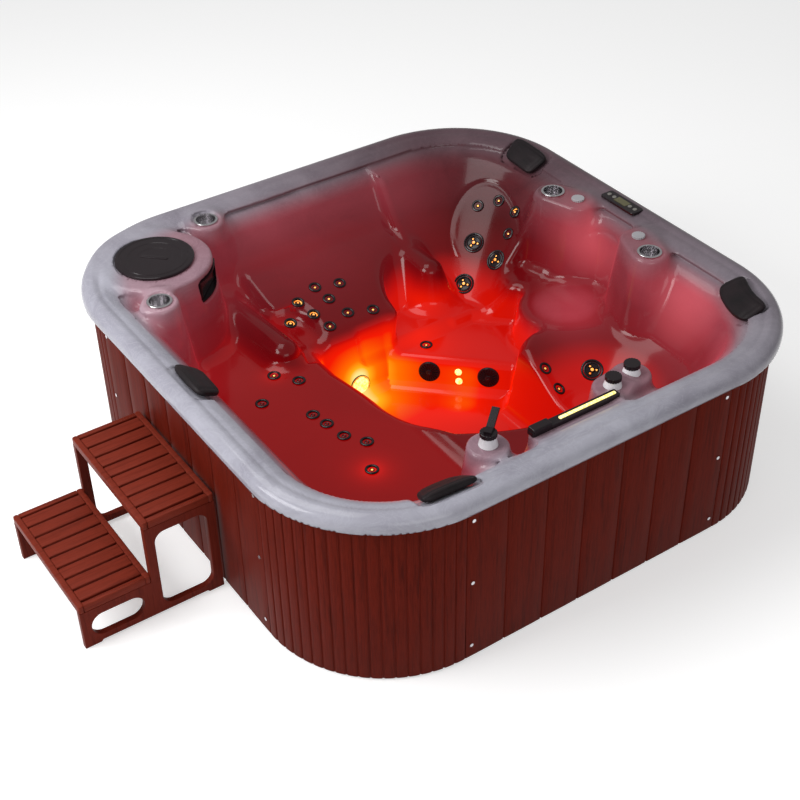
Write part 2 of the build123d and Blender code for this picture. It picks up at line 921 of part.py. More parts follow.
with BuildPart() as filter_cartridge:
    with BuildSketch(Plane.XY.offset(canister_bottom + canister_wall)):
        with Locations(tower_point):
            Circle(cartridge_radius)
            Circle(cartridge_bore, mode=Mode.SUBTRACT)
    extrude(amount=cartridge_height)
save(filter_cartridge.part, "filter_cartridge")

with BuildPart() as filter_lid:
    with BuildSketch(Plane.XY.offset(tower_shelf + flange_thickness + stack_gap)):
        with Locations(tower_point):
            Circle(lid_recess_radius - lid_gap)
    extrude(amount=lid_recess - flange_thickness)
    fillet(filter_lid.edges().group_by(Axis.Z)[-1], lid_round)
    with BuildSketch(Plane.XY.offset(tub_height - lid_grip_depth)):
        with Locations(tower_point):
            SlotOverall(lid_grip_length, lid_grip_width, rotation=-45)
            SlotOverall(lid_bar_length, lid_bar_width, rotation=-45, mode=Mode.SUBTRACT)
    extrude(amount=lid_recess, mode=Mode.SUBTRACT)
save(filter_lid.part, "filter_lid")
print("filter done")

# Jets, suctions and lights. Every local plane has its normal out of the skin.


def placed(places, builder):
    """The same fitting, copied to each plane."""
    with BuildPart() as group:
        for place in places:
            add(place.location * builder)
    return group.part


with BuildPart() as small_jet:
    with BuildSketch(Plane.XY.offset(surface_gap)):
        Circle(small_bezel_radius)
    extrude(amount=bezel_thickness)
    chamfer(small_jet.edges().group_by(Axis.Z)[-1], bezel_edge)
    with BuildSketch(Plane.XY.offset(surface_gap)):
        Circle(small_body_radius)
    extrude(amount=-small_body_depth)
    with BuildSketch(Plane.XY.offset(surface_gap + bezel_thickness)):
        Circle(small_body_radius - nozzle_wall)
    extrude(amount=-small_body_depth / 2, taper=nozzle_taper, mode=Mode.SUBTRACT)
save(placed(small_jets_places, small_jet.part), "small_jets")

with BuildPart() as large_bezel:
    with BuildSketch(Plane.XY.offset(surface_gap)):
        Circle(large_bezel_radius)
        Circle(large_face_radius + face_clearance, mode=Mode.SUBTRACT)
    extrude(amount=bezel_thickness)
    chamfer(large_bezel.edges().group_by(Axis.Z)[-1].sort_by(SortBy.LENGTH)[-1], bezel_edge)
save(placed(large_jets, large_bezel.part), "jet_bezels")

with BuildPart() as large_body:
    with BuildSketch(Plane.XY.offset(surface_gap)):
        Circle(large_body_radius)
    extrude(amount=-large_body_depth)
    with BuildSketch(Plane.XY.offset(surface_gap)):
        Circle(large_body_radius - large_body_wall)
    extrude(amount=large_body_wall - large_body_depth, mode=Mode.SUBTRACT)
save(placed(large_jets, large_body.part), "jet_bodies")

with BuildPart() as jet_face:
    with BuildSketch(Plane.XY.offset(surface_gap + stack_gap)):
        Circle(large_face_radius)
    extrude(amount=bezel_thickness)
    chamfer(jet_face.edges().group_by(Axis.Z)[-1], face_edge)
    with BuildSketch(Plane.XY.offset(surface_gap + stack_gap)):
        Circle(large_body_radius - large_body_wall - face_clearance)
    extrude(amount=-face_stem)
    with BuildSketch(Plane.XY.offset(surface_gap + bezel_thickness)):
        with PolarLocations(large_face_radius / 2, 3):
            Circle(face_port_radius)
    extrude(amount=-face_port_depth, mode=Mode.SUBTRACT)
for index, place in enumerate(large_jets):
    save(placed([place], jet_face.part), "jet_face_" + str(index + 1))

with BuildPart() as suction_cover:
    with BuildSketch(Plane.XY.offset(surface_gap)):
        Circle(suction_radius)
    extrude(amount=suction_height)
    chamfer(suction_cover.edges().group_by(Axis.Z)[-1], suction_height / 2)
    with BuildSketch(Plane.XY.offset(surface_gap)):
        Circle(suction_body_radius)
    extrude(amount=-small_body_depth)
    with BuildSketch(Plane.XY.offset(surface_gap + suction_height)):
        with PolarLocations(suction_slot_reach, suction_slots):
            SlotOverall(suction_slot_length, suction_slot_width)
    extrude(amount=-suction_height / 2, mode=Mode.SUBTRACT)
save(placed(suction_places, suction_cover.part), "suction_covers")

with BuildPart() as light_body:
    with BuildSketch(Plane.XY.offset(surface_gap)):
        Circle(light_radius)
    extrude(amount=bezel_thickness)
    with BuildSketch(Plane.XY.offset(surface_gap)):
        Circle(light_radius - light_body_step)
    extrude(amount=-small_body_depth)
    with BuildSketch(Plane.XY.offset(surface_gap)):
        Circle(light_radius - light_rim)
    extrude(amount=bezel_thickness, mode=Mode.SUBTRACT)
save(placed([main_light_place], light_body.part), "main_light_housing")
with BuildPart() as light_lens:
    with BuildSketch(Plane.XY.offset(surface_gap)):
        Circle(light_radius - light_rim - lens_play)
    extrude(amount=bezel_thickness + lens_proud)
    fillet(light_lens.edges().group_by(Axis.Z)[-1], light_rim)
save(placed([main_light_place], light_lens.part), "main_light_lens")
with BuildPart() as spot_lens:
    with BuildSketch(Plane.XY.offset(surface_gap)):
        Circle(spot_radius)
    extrude(amount=bezel_thickness)
    fillet(spot_lens.edges().group_by(Axis.Z)[-1], nozzle_wall)
    with BuildSketch(Plane.XY.offset(surface_gap)):
        Circle(spot_radius - spot_rim)
    extrude(amount=-small_body_depth / 2)
save(placed(spot_places, spot_lens.part), "spot_lights")

# Cup holders, pillows and controls on the rim
with BuildPart() as cup_liner:
    with BuildSketch(Plane.XY.offset(surface_gap)):
        Circle(cup_radius + cup_wall + cup_flange)
    extrude(amount=cup_wall)
    chamfer(cup_liner.edges().group_by(Axis.Z)[-1], cup_wall / 2)
    with BuildSketch(Plane.XY.offset(surface_gap)):
        Circle(cup_radius + cup_wall)
    extrude(amount=-cup_depth)
    with BuildSketch(Plane.XY.offset(surface_gap + cup_wall)):
        Circle(cup_radius)
    extrude(amount=-cup_depth, mode=Mode.SUBTRACT)
save(placed([flat_plane(x, y, cup_level) for x, y in cup_places], cup_liner.part), "cup_liners")

with BuildPart() as pillow:
    with BuildSketch(Plane.XY.offset(pillow_seat_gap - pillow_sink)):
        RectangleRounded(pillow_length, pillow_height, pillow_corner)
    extrude(amount=pillow_thickness)
    fillet(pillow.edges().group_by(Axis.Z)[0] + pillow.edges().group_by(Axis.Z)[-1], pillow_round)
for name, place in zip(pillow_names, pillow_places):
    save(placed([place], pillow.part), "pillow_" + name)

panel_top = tub_height + panel_proud
button_places = [(panel_x, panel_offset + along) for along in button_offsets]
with BuildPart() as control_panel:
    with BuildSketch(Plane.XY.offset(tub_height - panel_recess + stack_gap)):
        with Locations((panel_x, panel_offset)):
            RectangleRounded(panel_width, panel_length, panel_corner)
    extrude(amount=panel_proud + panel_recess - stack_gap)
    chamfer(control_panel.edges().group_by(Axis.Z)[-1], panel_edge)
    with BuildSketch(Plane.XY.offset(panel_top)):
        with Locations(*button_places):
            Circle(button_radius + button_clearance)
    extrude(amount=-button_well, mode=Mode.SUBTRACT)
    with BuildSketch(Plane.XY.offset(panel_top)):
        with Locations((panel_x, panel_offset)):
            Rectangle(display_width + 2 * stack_gap, display_length + 2 * stack_gap)
    extrude(amount=-display_well, mode=Mode.SUBTRACT)
save(control_panel.part, "control_panel")

with BuildPart() as control_display:
    with BuildSketch(Plane.XY.offset(panel_top - display_well)):
        with Locations((panel_x, panel_offset)):
            Rectangle(display_width, display_length)
    extrude(amount=display_well + display_proud)
save(control_display.part, "control_display")

for name, place in zip(button_names, button_places):
    with BuildPart() as button:
        with BuildSketch(Plane.XY.offset(panel_top - button_well + button_travel + stack_gap)):
            with Locations(place):
                Circle(button_radius)
        extrude(amount=button_well - button_travel - stack_gap + button_proud)
        fillet(button.edges().group_by(Axis.Z)[-1], 1)
    save(button.part, name + "_button")


def turning_knob(bottom, radius, height, shaft_length):
    """Round knob with finger grips on a shaft that hangs through the deck."""
    with BuildPart() as knob:
        with BuildSketch(Plane.XY.offset(bottom)):
            Circle(radius)
            with PolarLocations(radius + knob_grip_radius / 2, knob_grips):
                Circle(knob_grip_radius, mode=Mode.SUBTRACT)
        extrude(amount=height)
        chamfer(knob.edges().group_by(Axis.Z)[-1], 1)
        with BuildSketch(Plane.XY.offset(bottom)):
            Circle(knob_shaft_radius)
        extrude(amount=-shaft_length)
    return knob.part


air_knob = turning_knob(surface_gap, air_knob_radius, air_knob_height, knob_shaft_below)
for name, (x, y) in zip(["far", "near"], air_knob_places):
    save(placed([flat_plane(x, y, cup_level)], air_knob), "air_knob_" + name)

base_heights = [lever_base_height, knob_base_height, knob_base_height]
with BuildPart() as diverter_bases:
    for place, height in zip(diverter_planes, base_heights):
        with Locations(place.offset(surface_gap + height / 2)):
            Cone(knob_base_radius, knob_base_top_radius, height)
        with Locations(place):
            Cylinder(knob_shaft_radius + shaft_clearance, 4 * height, mode=Mode.SUBTRACT)
save(diverter_bases.part, "diverter_bases")

cap_bottom = surface_gap + knob_base_height + stack_gap
diverter_cap = turning_knob(cap_bottom, knob_radius, knob_height, cap_bottom + knob_shaft_below)
for index, place in enumerate(diverter_planes[1:]):
    save(placed([place], diverter_cap), "diverter_cap_" + str(index + 1))

lever_bottom = surface_gap + lever_base_height + stack_gap
lever_cap = turning_knob(lever_bottom, knob_radius, knob_height, lever_bottom + knob_shaft_below)
lever_top = lever_bottom + knob_height
with BuildPart() as diverter_lever:
    add(lever_cap)
    with BuildSketch(Plane.XZ):
        with BuildLine():
            Polyline(
                (-knob_radius / 2, lever_top - lever_sink),
                (-knob_radius / 2, lever_top + lever_thickness),
                (knob_radius / 2, lever_top + lever_thickness),
                (lever_reach - lever_thickness, lever_top + lever_rise),
                (lever_reach, lever_top + lever_rise - lever_thickness),
                (knob_radius / 2 + lever_thickness, lever_top - lever_sink),
                close=True,
            )
        make_face()
    extrude(amount=lever_width / 2, both=True)
lever_turned = diverter_lever.part.rotate(Axis.Z, lever_heading)
save(placed([diverter_planes[0]], lever_turned), "diverter_lever")

# Waterfall spout on its ledge, with a lit strip let into its top
spout_y = -(half - spout_inset) - spout_bar_depth / 2 - body_clearance
spout_bottom = spout_level + stack_gap
spout_top = spout_bottom + spout_bar_height
spout_block_x = spout_x - spout_length / 2 + spout_block_length / 2 + spout_block_inset
with BuildPart() as waterfall_spout:
    with BuildSketch(Plane.XY.offset(spout_bottom)):
        with Locations((spout_x, spout_y)):
            RectangleRounded(spout_length - 2 * body_clearance, spout_bar_depth, spout_corner)
    extrude(amount=spout_bar_height)
    with BuildSketch(Plane.XY.offset(spout_bottom)):
        with Locations((spout_block_x, spout_y)):
            RectangleRounded(spout_block_length, spout_bar_depth, spout_corner)
    extrude(amount=spout_block_height)
    fillet(waterfall_spout.edges().group_by(Axis.Z)[-1], spout_edge)
    strip_middle = (strip_start + strip_end) / 2
    strip_length = strip_end - strip_start
    with BuildSketch(Plane.XY.offset(spout_top)):
        with Locations((strip_middle, spout_y)):
            Rectangle(strip_length + 2 * stack_gap, strip_width + 2 * stack_gap)
    extrude(amount=-strip_height / 2, mode=Mode.SUBTRACT)
    with BuildSketch(Plane.XZ.offset(-spout_y - spout_bar_depth / 2)):
        with Locations((strip_middle, spout_bottom + spout_bar_height / 2 - spout_lip)):
            Rectangle(strip_length, spout_mouth_height)
    extrude(amount=spout_bar_depth / 3, mode=Mode.SUBTRACT)
save(waterfall_spout.part, "waterfall_spout")

with BuildPart() as light_strip:
    with BuildSketch(Plane.XY.offset(spout_top - strip_height / 2)):
        with Locations((strip_middle, spout_y)):
            RectangleRounded(strip_length, strip_width, strip_corner)
    extrude(amount=strip_height)
    fillet(light_strip.edges().group_by(Axis.Z)[-1], strip_edge)
save(light_strip.part, "light_strip")
print("rim controls done")

# Pumps, heater, control box and blower on the base pan
pump_level = base_thickness + pump_foot_height + motor_radius
small_pump_level = base_thickness + pump_foot_height + small_pump_radius


def machine_foot(x, y, width, length, level):
    """Block from the base pan up to the middle of a round machine."""
    with BuildPart() as foot:
        with BuildSketch(Plane.XY.offset(base_thickness)):
            with Locations((x, y)):
                Rectangle(width, length)
        extrude(amount=level - base_thickness)
    return foot.part


with BuildPart() as jet_pump_motor:
    with BuildSketch(Plane.XZ.offset(-motor_y - motor_length / 2)):
        with Locations((motor_x, pump_level)):
            Circle(motor_radius)
            with PolarLocations(motor_radius, motor_fins):
                Rectangle(2 * motor_fin_depth, 2 * motor_fin_depth, mode=Mode.SUBTRACT)
    extrude(amount=motor_length)
    add(machine_foot(motor_x, motor_y, pump_foot_width, motor_length / 2, pump_level))
save(jet_pump_motor.part, "jet_pump_motor")

wet_end_y = motor_y + motor_length / 2 + wet_end_length / 2
outlet_level = pump_level + wet_end_radius + neck_length
inlet_y = wet_end_y + wet_end_length / 2 + neck_length
neck_radius = pipe_radius + neck_wall
with BuildPart() as pump_wet_end:
    with BuildSketch(Plane.XZ.offset(-wet_end_y - wet_end_length / 2)):
        with Locations((motor_x, pump_level)):
            Circle(wet_end_radius)
    extrude(amount=wet_end_length)
    with BuildSketch(Plane.XZ.offset(-inlet_y)):
        with Locations((motor_x, pump_level)):
            Circle(neck_radius)
    extrude(amount=wet_end_length)
    with BuildSketch(Plane.XY.offset(outlet_level)):
        with Locations((motor_x, wet_end_y)):
            Circle(neck_radius)
    extrude(amount=-wet_end_radius)
save(pump_wet_end.part, "pump_wet_end")

with BuildPart() as circulation_pump:
    with BuildSketch(Plane.XZ.offset(-small_pump_y - small_pump_length / 2)):
        with Locations((small_pump_x, small_pump_level)):
            Circle(small_pump_radius)
    extrude(amount=small_pump_length)
    with BuildSketch(Plane.XZ.offset(-small_pump_y - small_pump_length / 2 - neck_length)):
        with Locations((small_pump_x, small_pump_level)):
            Circle(neck_radius)
    extrude(amount=small_pump_length + 2 * neck_length)
    foot_length = small_pump_length / 2
    add(machine_foot(small_pump_x, small_pump_y, small_pump_radius, foot_length, small_pump_level))
save(circulation_pump.part, "circulation_pump")

with BuildPart() as heater:
    with BuildSketch(Plane.XZ.offset(-heater_y - heater_length / 2)):
        with Locations((heater_x, heater_level)):
            Circle(heater_radius)
    extrude(amount=heater_length)
    with BuildSketch(Plane.XZ.offset(-heater_y - heater_length / 2 - neck_length)):
        with Locations((heater_x, heater_level)):
            Circle(neck_radius)
    extrude(amount=heater_length + 2 * neck_length)
    for side in (-1, 1):
        saddle_y = heater_y + side * heater_length / 3
        add(machine_foot(heater_x, saddle_y, saddle_width, saddle_thickness, heater_level))
save(heater.part, "heater")

with BuildPart() as control_box:
    with BuildSketch(Plane.XY.offset(base_thickness)):
        with Locations((box_x, box_y)):
            RectangleRounded(box_depth, box_length, box_lid_thickness)
    extrude(amount=box_height)
    with BuildSketch(Plane.XY.offset(base_thickness + box_height)):
        with Locations((box_x, box_y)):
            RectangleRounded(box_depth + box_lid_thickness, box_length + box_lid_thickness, 8)
    extrude(amount=box_lid_thickness)
save(control_box.part, "control_box")

blower_top = base_thickness + blower_height + neck_length
with BuildPart() as air_blower:
    with BuildSketch(Plane.XY.offset(base_thickness)):
        with Locations((blower_x, blower_y)):
            Circle(blower_radius)
    extrude(amount=blower_height)
    chamfer(air_blower.edges().group_by(Axis.Z)[-1], 20)
    with BuildSketch(Plane.XY.offset(blower_top)):
        with Locations((blower_x, blower_y)):
            Circle(neck_radius)
    extrude(amount=-blower_height / 2)
save(air_blower.part, "air_blower")


def pipe_run(points):
    """Hollow pipe along straight runs joined by arcs."""
    with BuildPart() as pipe:
        with BuildLine() as route:
            FilletPolyline(*points, radius=pipe_bend)
        with BuildSketch(Plane(origin=route.line @ 0, z_dir=route.line % 0)):
            Circle(pipe_radius)
            Circle(pipe_radius - pipe_wall, mode=Mode.SUBTRACT)
        sweep(path=route.line)
    return pipe.part


suction_end = suction_places[0].offset(-small_body_depth).origin
suction_bend = suction_places[0].offset(-small_body_depth - 2.2 * pipe_bend).origin
heater_end = heater_length / 2 + neck_length
circulation_end = small_pump_length / 2 + neck_length
pipe_routes = [
    [
        (motor_x, inlet_y, pump_level),
        (motor_x, 230, pump_level),
        (-470, 300, pipe_low),
        (suction_bend.X, suction_bend.Y, pipe_low),
        tuple(suction_bend),
        tuple(suction_end),
    ],
    [
        (motor_x, wet_end_y, outlet_level),
        (motor_x, wet_end_y, pipe_high),
        (motor_x, 420, pipe_high),
        (-400, 560, pipe_high),
        (100, 560, pipe_high),
    ],
    [
        (small_pump_x, small_pump_y + circulation_end, small_pump_level),
        (small_pump_x, -330, small_pump_level),
        (heater_x, -260, heater_level),
        (heater_x, heater_y - heater_end, heater_level),
    ],
    [
        (heater_x, heater_y + heater_end, heater_level),
        (heater_x, 330, heater_level),
        (heater_x, 330, pipe_high),
    ],
    [
        (tower_x, tower_y, tub_height - lid_recess - canister_depth),
        (tower_x, tower_y, small_pump_level),
        (-860, 600, small_pump_level),
        (-860, -560, small_pump_level),
        (-700, -720, small_pump_level),
        (small_pump_x, -720, small_pump_level),
        (small_pump_x, small_pump_y - circulation_end, small_pump_level),
    ],
    [
        (blower_x, blower_y, blower_top),
        (blower_x, blower_y, blower_top + 52),
        (860, blower_y, blower_top + 52),
        (860, blower_y, 420),
    ],
]
with BuildPart() as plumbing_pipes:
    for points in pipe_routes:
        add(pipe_run(points))
save(plumbing_pipes.part, "plumbing_pipes")

# Drain spigot and power entry through the back panel
with BuildPart() as drain_valve:
    with BuildSketch(drain_plane.offset(-valve_length)):
        Circle(valve_radius)
    extrude(amount=valve_length)
    with BuildSketch(drain_plane):
        Circle(spigot_radius)
    extrude(amount=spigot_length)
    with BuildSketch(drain_plane.offset(spigot_length)):
        Circle(spigot_bore)
    extrude(amount=-valve_length, mode=Mode.SUBTRACT)
save(drain_valve.part, "drain_valve")

with BuildPart() as power_gland:
    with BuildSketch(power_plane.offset(-gland_length / 2)):
        Circle(gland_radius)
        Circle(gland_bore, mode=Mode.SUBTRACT)
    extrude(amount=gland_length)
save(power_gland.part, "power_gland")
print("equipment done")

# Steps: two slatted treads on two open side frames
step_back = -(skirt_half + step_gap)
step_middle = step_back - tread_depth
step_front = step_middle - tread_depth
lower_frame_level = lower_tread_top - tread_frame_height
upper_frame_level = upper_tread_top - tread_frame_height
side_offset = (step_width - side_thickness) / 2
tread_steps = [
    ((step_front + step_middle) / 2, lower_tread_top),
    ((step_middle + step_back) / 2, upper_tread_top),
]

with BuildPart() as step_sides:
    for side in (-1, 1):
        plate_centre = step_centre_y + side * side_offset
        with BuildSketch(Plane.XZ.offset(-plate_centre - side_thickness / 2)):
            with BuildLine():
                Polyline(
                    (step_front, 0),
                    (step_front, lower_frame_level),
                    (step_middle, lower_frame_level),
                    (step_middle, upper_frame_level),
                    (step_back, upper_frame_level),
                    (step_back, 0),
                    close=True,
                )
            make_face()
            with Locations(((step_front + step_middle) / 2, lower_frame_level / 2)):
                slot_height = lower_frame_level - 2 * side_bar
                SlotOverall(tread_depth - 2 * side_bar, slot_height, mode=Mode.SUBTRACT)
            with Locations(((step_middle + step_back) / 2, upper_frame_level / 2)):
                window_width = tread_depth - 2 * side_bar
                window_height = upper_frame_level - 2 * side_bar
                RectangleRounded(window_width, window_height, side_round - side_bar / 2,
                                 mode=Mode.SUBTRACT)
            with Locations(((step_front + step_back) / 2, 0)):
                Rectangle(2 * tread_depth - 2 * side_foot_length, 2 * side_foot_height,
                          mode=Mode.SUBTRACT)
        extrude(amount=side_thickness)
save(step_sides.part, "step_sides")

with BuildPart() as tread_frames:
    opening_x = tread_depth - 2 * tread_border
    opening_y = step_width - 2 * tread_border
    for centre_x, top in tread_steps:
        with BuildSketch(Plane.XY.offset(top - tread_frame_height)):
            with Locations((centre_x, step_centre_y)):
                RectangleRounded(tread_depth, step_width, tread_corner)
                Rectangle(opening_x - 2 * tread_ledge, opening_y - 2 * tread_ledge,
                          mode=Mode.SUBTRACT)
        extrude(amount=tread_frame_height)
        with BuildSketch(Plane.XY.offset(top - slat_thickness)):
            with Locations((centre_x, step_centre_y)):
                Rectangle(opening_x, opening_y)
        extrude(amount=slat_thickness, mode=Mode.SUBTRACT)
save(tread_frames.part, "tread_frames")

with BuildPart() as tread_slats:
    slat_pitch = (opening_y - slat_gap) / slats_per_tread
    for centre_x, top in tread_steps:
        with BuildSketch(Plane.XY.offset(top - slat_thickness)):
            with Locations((centre_x, step_centre_y)):
                with GridLocations(1, slat_pitch, 1, slats_per_tread):
                    Rectangle(opening_x - 2 * tread_play, slat_pitch - slat_gap)
        extrude(amount=slat_thickness)
save(tread_slats.part, "tread_slats")
print("steps done")
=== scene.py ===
import json
import math
import bmesh
import bpy
import numpy as np
from mathutils import Matrix, Vector


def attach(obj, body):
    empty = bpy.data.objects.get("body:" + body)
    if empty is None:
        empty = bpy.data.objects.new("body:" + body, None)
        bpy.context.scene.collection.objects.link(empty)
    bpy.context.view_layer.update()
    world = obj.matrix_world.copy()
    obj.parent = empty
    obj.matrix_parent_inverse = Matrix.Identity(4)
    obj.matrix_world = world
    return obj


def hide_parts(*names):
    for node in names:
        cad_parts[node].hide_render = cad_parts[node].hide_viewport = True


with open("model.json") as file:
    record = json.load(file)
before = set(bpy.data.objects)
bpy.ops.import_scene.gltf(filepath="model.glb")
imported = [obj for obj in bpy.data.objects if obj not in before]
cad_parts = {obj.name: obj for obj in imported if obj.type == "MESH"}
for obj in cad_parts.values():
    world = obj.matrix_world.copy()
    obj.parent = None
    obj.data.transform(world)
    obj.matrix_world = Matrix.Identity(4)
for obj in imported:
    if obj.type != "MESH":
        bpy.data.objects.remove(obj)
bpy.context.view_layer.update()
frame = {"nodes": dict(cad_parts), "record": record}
print("frame loaded")

# Sizes that several pieces share, in metres and degrees
tub = {
    "half": 1.1, "top": 0.75, "cornerRadius": 0.525, "lipLow": 0.695, "outerRound": 0.035,
    "basinTop": 0.962, "basinCorner": 0.387, "basinDraft": 28, "rimRound": 0.08,
    "seat": 0.4, "wellFloor": 0.08, "wellDraft": 8, "wellFar": 0.31, "wellDiagonal": 0.244,
    "benchLevel": 0.372, "benchRise": 15, "loungerLevel": 0.37, "stepLevel": 0.22,
    "bowlCentre": 0.476, "bowlLevel": 0.27, "bowlLow": 0.10, "bowlHigh": 0.30,
    "coneLevel": 0.258, "coneStart": 0.455, "coneRadius": 0.218, "coneTop": 0.705, "coneEnd": 0.575,
    "captain": (0.715, -0.005), "alcoveRadius": 0.19,
    "gap": 0.0012,  # between the skin and the fittings on it
    "core": 1.028, "coreRadius": 0.453,  # the body below the rim
    "pilaster": 0.072, "pilasterTop": 0.736, "draft": 7, "towerRadius": 0.225, "towerTop": 0.738,
    "lidRecess": 0.16, "canister": 0.145, "canisterLow": 0.43, "mouthLevel": 0.662,
    "cupFlange": 0.056, "cupHole": 0.0435, "cupLow": 0.64,
}
root = math.sqrt(0.5)
cupPlaces = [(-0.855, 0.515), (-0.426, 0.945), (0.872, 0.295), (0.875, -0.3)]
airKnobPlaces = [(0.91, 0.178), (0.915, -0.19)]
diverterPlaces = [(-0.35, -0.87, 0.722), (0.209, -0.85, 0.708), (0.312, -0.831, 0.708)]
towerPlace = (-0.736, 0.79)

# Lamp light painted into the acrylic as emission: centre, strength and reach of each patch, orange and pink
lampFields = [
    ((-0.103, 0.27, 0.17), 0.75, 0.30),  # main light
    ((0.22, 0.02, 0.16), 0.35, 0.12),  # spots between the suction covers
    ((0.08, -0.80, 0.62), 0.25, 0.12),  # waterfall strip
    ((-0.514, -0.405, 0.40), 0.55, 0.04),  # lit jets of the lounger and the foot step
    ((-0.513, 0.294, 0.40), 0.35, 0.03),
    ((0.22, 0.29, 0.30), 0.25, 0.10),
]
# painted pink light on the upper walls, as emission: centre, strength and reach of each patch
paintedPinkLightFields = [
    ((0.93, 0.05, 0.60), 0.95, 0.22), ((0.66, -0.10, 0.38), 0.45, 0.16),
    ((0.88, -0.52, 0.60), 0.85, 0.24), ((0.60, -0.86, 0.58), 0.5, 0.22),
    ((-0.05, 0.90, 0.58), 0.34, 0.36), ((-0.55, 0.80, 0.55), 0.28, 0.22),
    ((0.45, 0.85, 0.62), 0.30, 0.20), ((-0.80, 0.45, 0.55), 0.35, 0.20),
]


def slopeOf(angle):
    return math.tan(math.radians(angle))


# Local planes of the fittings: a matrix whose Z axis points out of the skin
def planeAt(origin, normal, along=None):
    z = Vector(normal).normalized()
    x = Vector(along) if along else Vector((0, 0, 1)).cross(z)
    if x.length < 1e-4:
        x = Vector((1, 0, 0))
    x = (x - x.dot(z) * z).normalized()
    place = Matrix((x, z.cross(x), z)).transposed().to_4x4()
    place.translation = Vector(origin)
    return place


def flatPlane(x, y, z):
    return planeAt((x, y, z), (0, 0, 1))


coneRimRadius = tub["basinCorner"] - (tub["top"] - tub["coneTop"]) * slopeOf(tub["basinDraft"])
coneRise = tub["coneTop"] - tub["coneLevel"]
coneRun = tub["coneEnd"] / root - tub["coneStart"]


def cornerCone(height):
    share = (height - tub["coneLevel"]) / coneRise
    return tub["coneStart"] + share * coneRun, tub["coneRadius"] + share * (coneRimRadius - tub["coneRadius"])


def cornerPlane(sideways, height):
    distance, radius = cornerCone(height)
    turn = math.asin(sideways / radius)
    along = distance + radius * math.cos(turn)
    lean = coneRun * math.cos(turn) + coneRimRadius - tub["coneRadius"]
    u, v = -coneRise * math.cos(turn), -coneRise * math.sin(turn)
    origin = ((along - sideways) * root, (along + sideways) * root, height)
    return planeAt(origin, ((u - v) * root, (u + v) * root, lean))


def bowlPlane(turn, height):
    slope = (tub["bowlHigh"] - tub["bowlLow"]) / (tub["seat"] - tub["bowlLevel"])
    radius = tub["bowlLow"] + (height - tub["bowlLevel"]) * slope
    x, y = math.cos(math.radians(turn)), math.sin(math.radians(turn))
    origin = (tub["bowlCentre"] + radius * x, radius * y - tub["bowlCentre"], height)
    return planeAt(origin, (-x, -y, slope))


def benchPlane(x, y):
    height = tub["benchLevel"] + (y - tub["wellFar"]) * slopeOf(tub["benchRise"])
    return planeAt((x, y, height), (0, -slopeOf(tub["benchRise"]), 1))


def diagonalPlane(sideways, height):
    along = tub["wellDiagonal"] + (height - tub["wellFloor"]) * slopeOf(tub["wellDraft"])
    origin = ((along - sideways) * root, (along + sideways) * root, height)
    return planeAt(origin, (-root, -root, slopeOf(tub["wellDraft"])))


def wellFarPlane(x, height):
    y = tub["wellFar"] + (height - tub["wellFloor"]) * slopeOf(tub["wellDraft"])
    return planeAt((x, y, height), (0, -1, slopeOf(tub["wellDraft"])))


# Materials
def shade(name, roughness=0.3, metallic=0.0, coat=0.0, coatRoughness=0.05, specular=0.5, sheen=0.0):
    material = bpy.data.materials.new(name)
    material.use_nodes = True
    body = material.node_tree.nodes["Principled BSDF"]
    body.inputs["Roughness"].default_value = roughness
    body.inputs["Metallic"].default_value = metallic
    body.inputs["Coat Weight"].default_value = coat
    body.inputs["Coat Roughness"].default_value = coatRoughness
    body.inputs["Specular IOR Level"].default_value = specular
    body.inputs["Sheen Weight"].default_value = sheen
    return material, body


def addNode(material, kind, **values):
    node = material.node_tree.nodes.new(kind)
    for key, value in values.items():
        if key in node.inputs:
            node.inputs[key].default_value = value
        else:
            setattr(node, key, value)
    return node


def wire(material, start, end):
    material.node_tree.links.new(start, end)


def stretched(material, scale=(1, 1, 1), rotation=(0, 0, 0)):  # object position, stretched
    source = addNode(material, "ShaderNodeTexCoord")
    mapping = addNode(material, "ShaderNodeMapping")
    mapping.inputs["Scale"].default_value = scale
    mapping.inputs["Rotation"].default_value = rotation
    wire(material, source.outputs["Object"], mapping.inputs["Vector"])
    return mapping.outputs["Vector"]


def noise(material, vector, scale, detail=4.0, roughness=0.55, distortion=0.0):
    node = addNode(material, "ShaderNodeTexNoise", Scale=scale, Detail=detail, Roughness=roughness,
                   Distortion=distortion)
    wire(material, vector, node.inputs["Vector"])
    return node.outputs["Fac"]


def ramp(material, source, stops):
    node = addNode(material, "ShaderNodeValToRGB")
    points = node.color_ramp.elements
    while len(points) < len(stops):
        points.new(0.5)
    for point, (position, colour) in zip(points, stops):
        point.position = position
        point.color = (*colour, 1)
    wire(material, source, node.inputs["Fac"])
    return node.outputs["Color"]


def blendColours(material, share, first, second, mode="MIX"):
    node = addNode(material, "ShaderNodeMix", data_type="RGBA", blend_type=mode)
    for socket, value in ((node.inputs[0], share), (node.inputs[6], first), (node.inputs[7], second)):
        if isinstance(value, (int, float)):
            socket.default_value = value
        elif isinstance(value, tuple):
            socket.default_value = (*value, 1)
        else:
            wire(material, value, socket)
    return node.outputs[2]


def addBump(material, body, height, strength=0.3, distance=0.001):
    node = addNode(material, "ShaderNodeBump")
    node.inputs["Strength"].default_value = strength
    node.inputs["Distance"].default_value = distance
    wire(material, height, node.inputs["Height"])
    wire(material, node.outputs["Normal"], body.inputs["Normal"])


def wornRoughness(material, body, vector, scale, low, high):
    field = noise(material, vector, scale, 3)
    spread = addNode(material, "ShaderNodeMapRange")
    spread.inputs["To Min"].default_value = low
    spread.inputs["To Max"].default_value = high
    wire(material, field, spread.inputs["Value"])
    wire(material, spread.outputs["Result"], body.inputs["Roughness"])


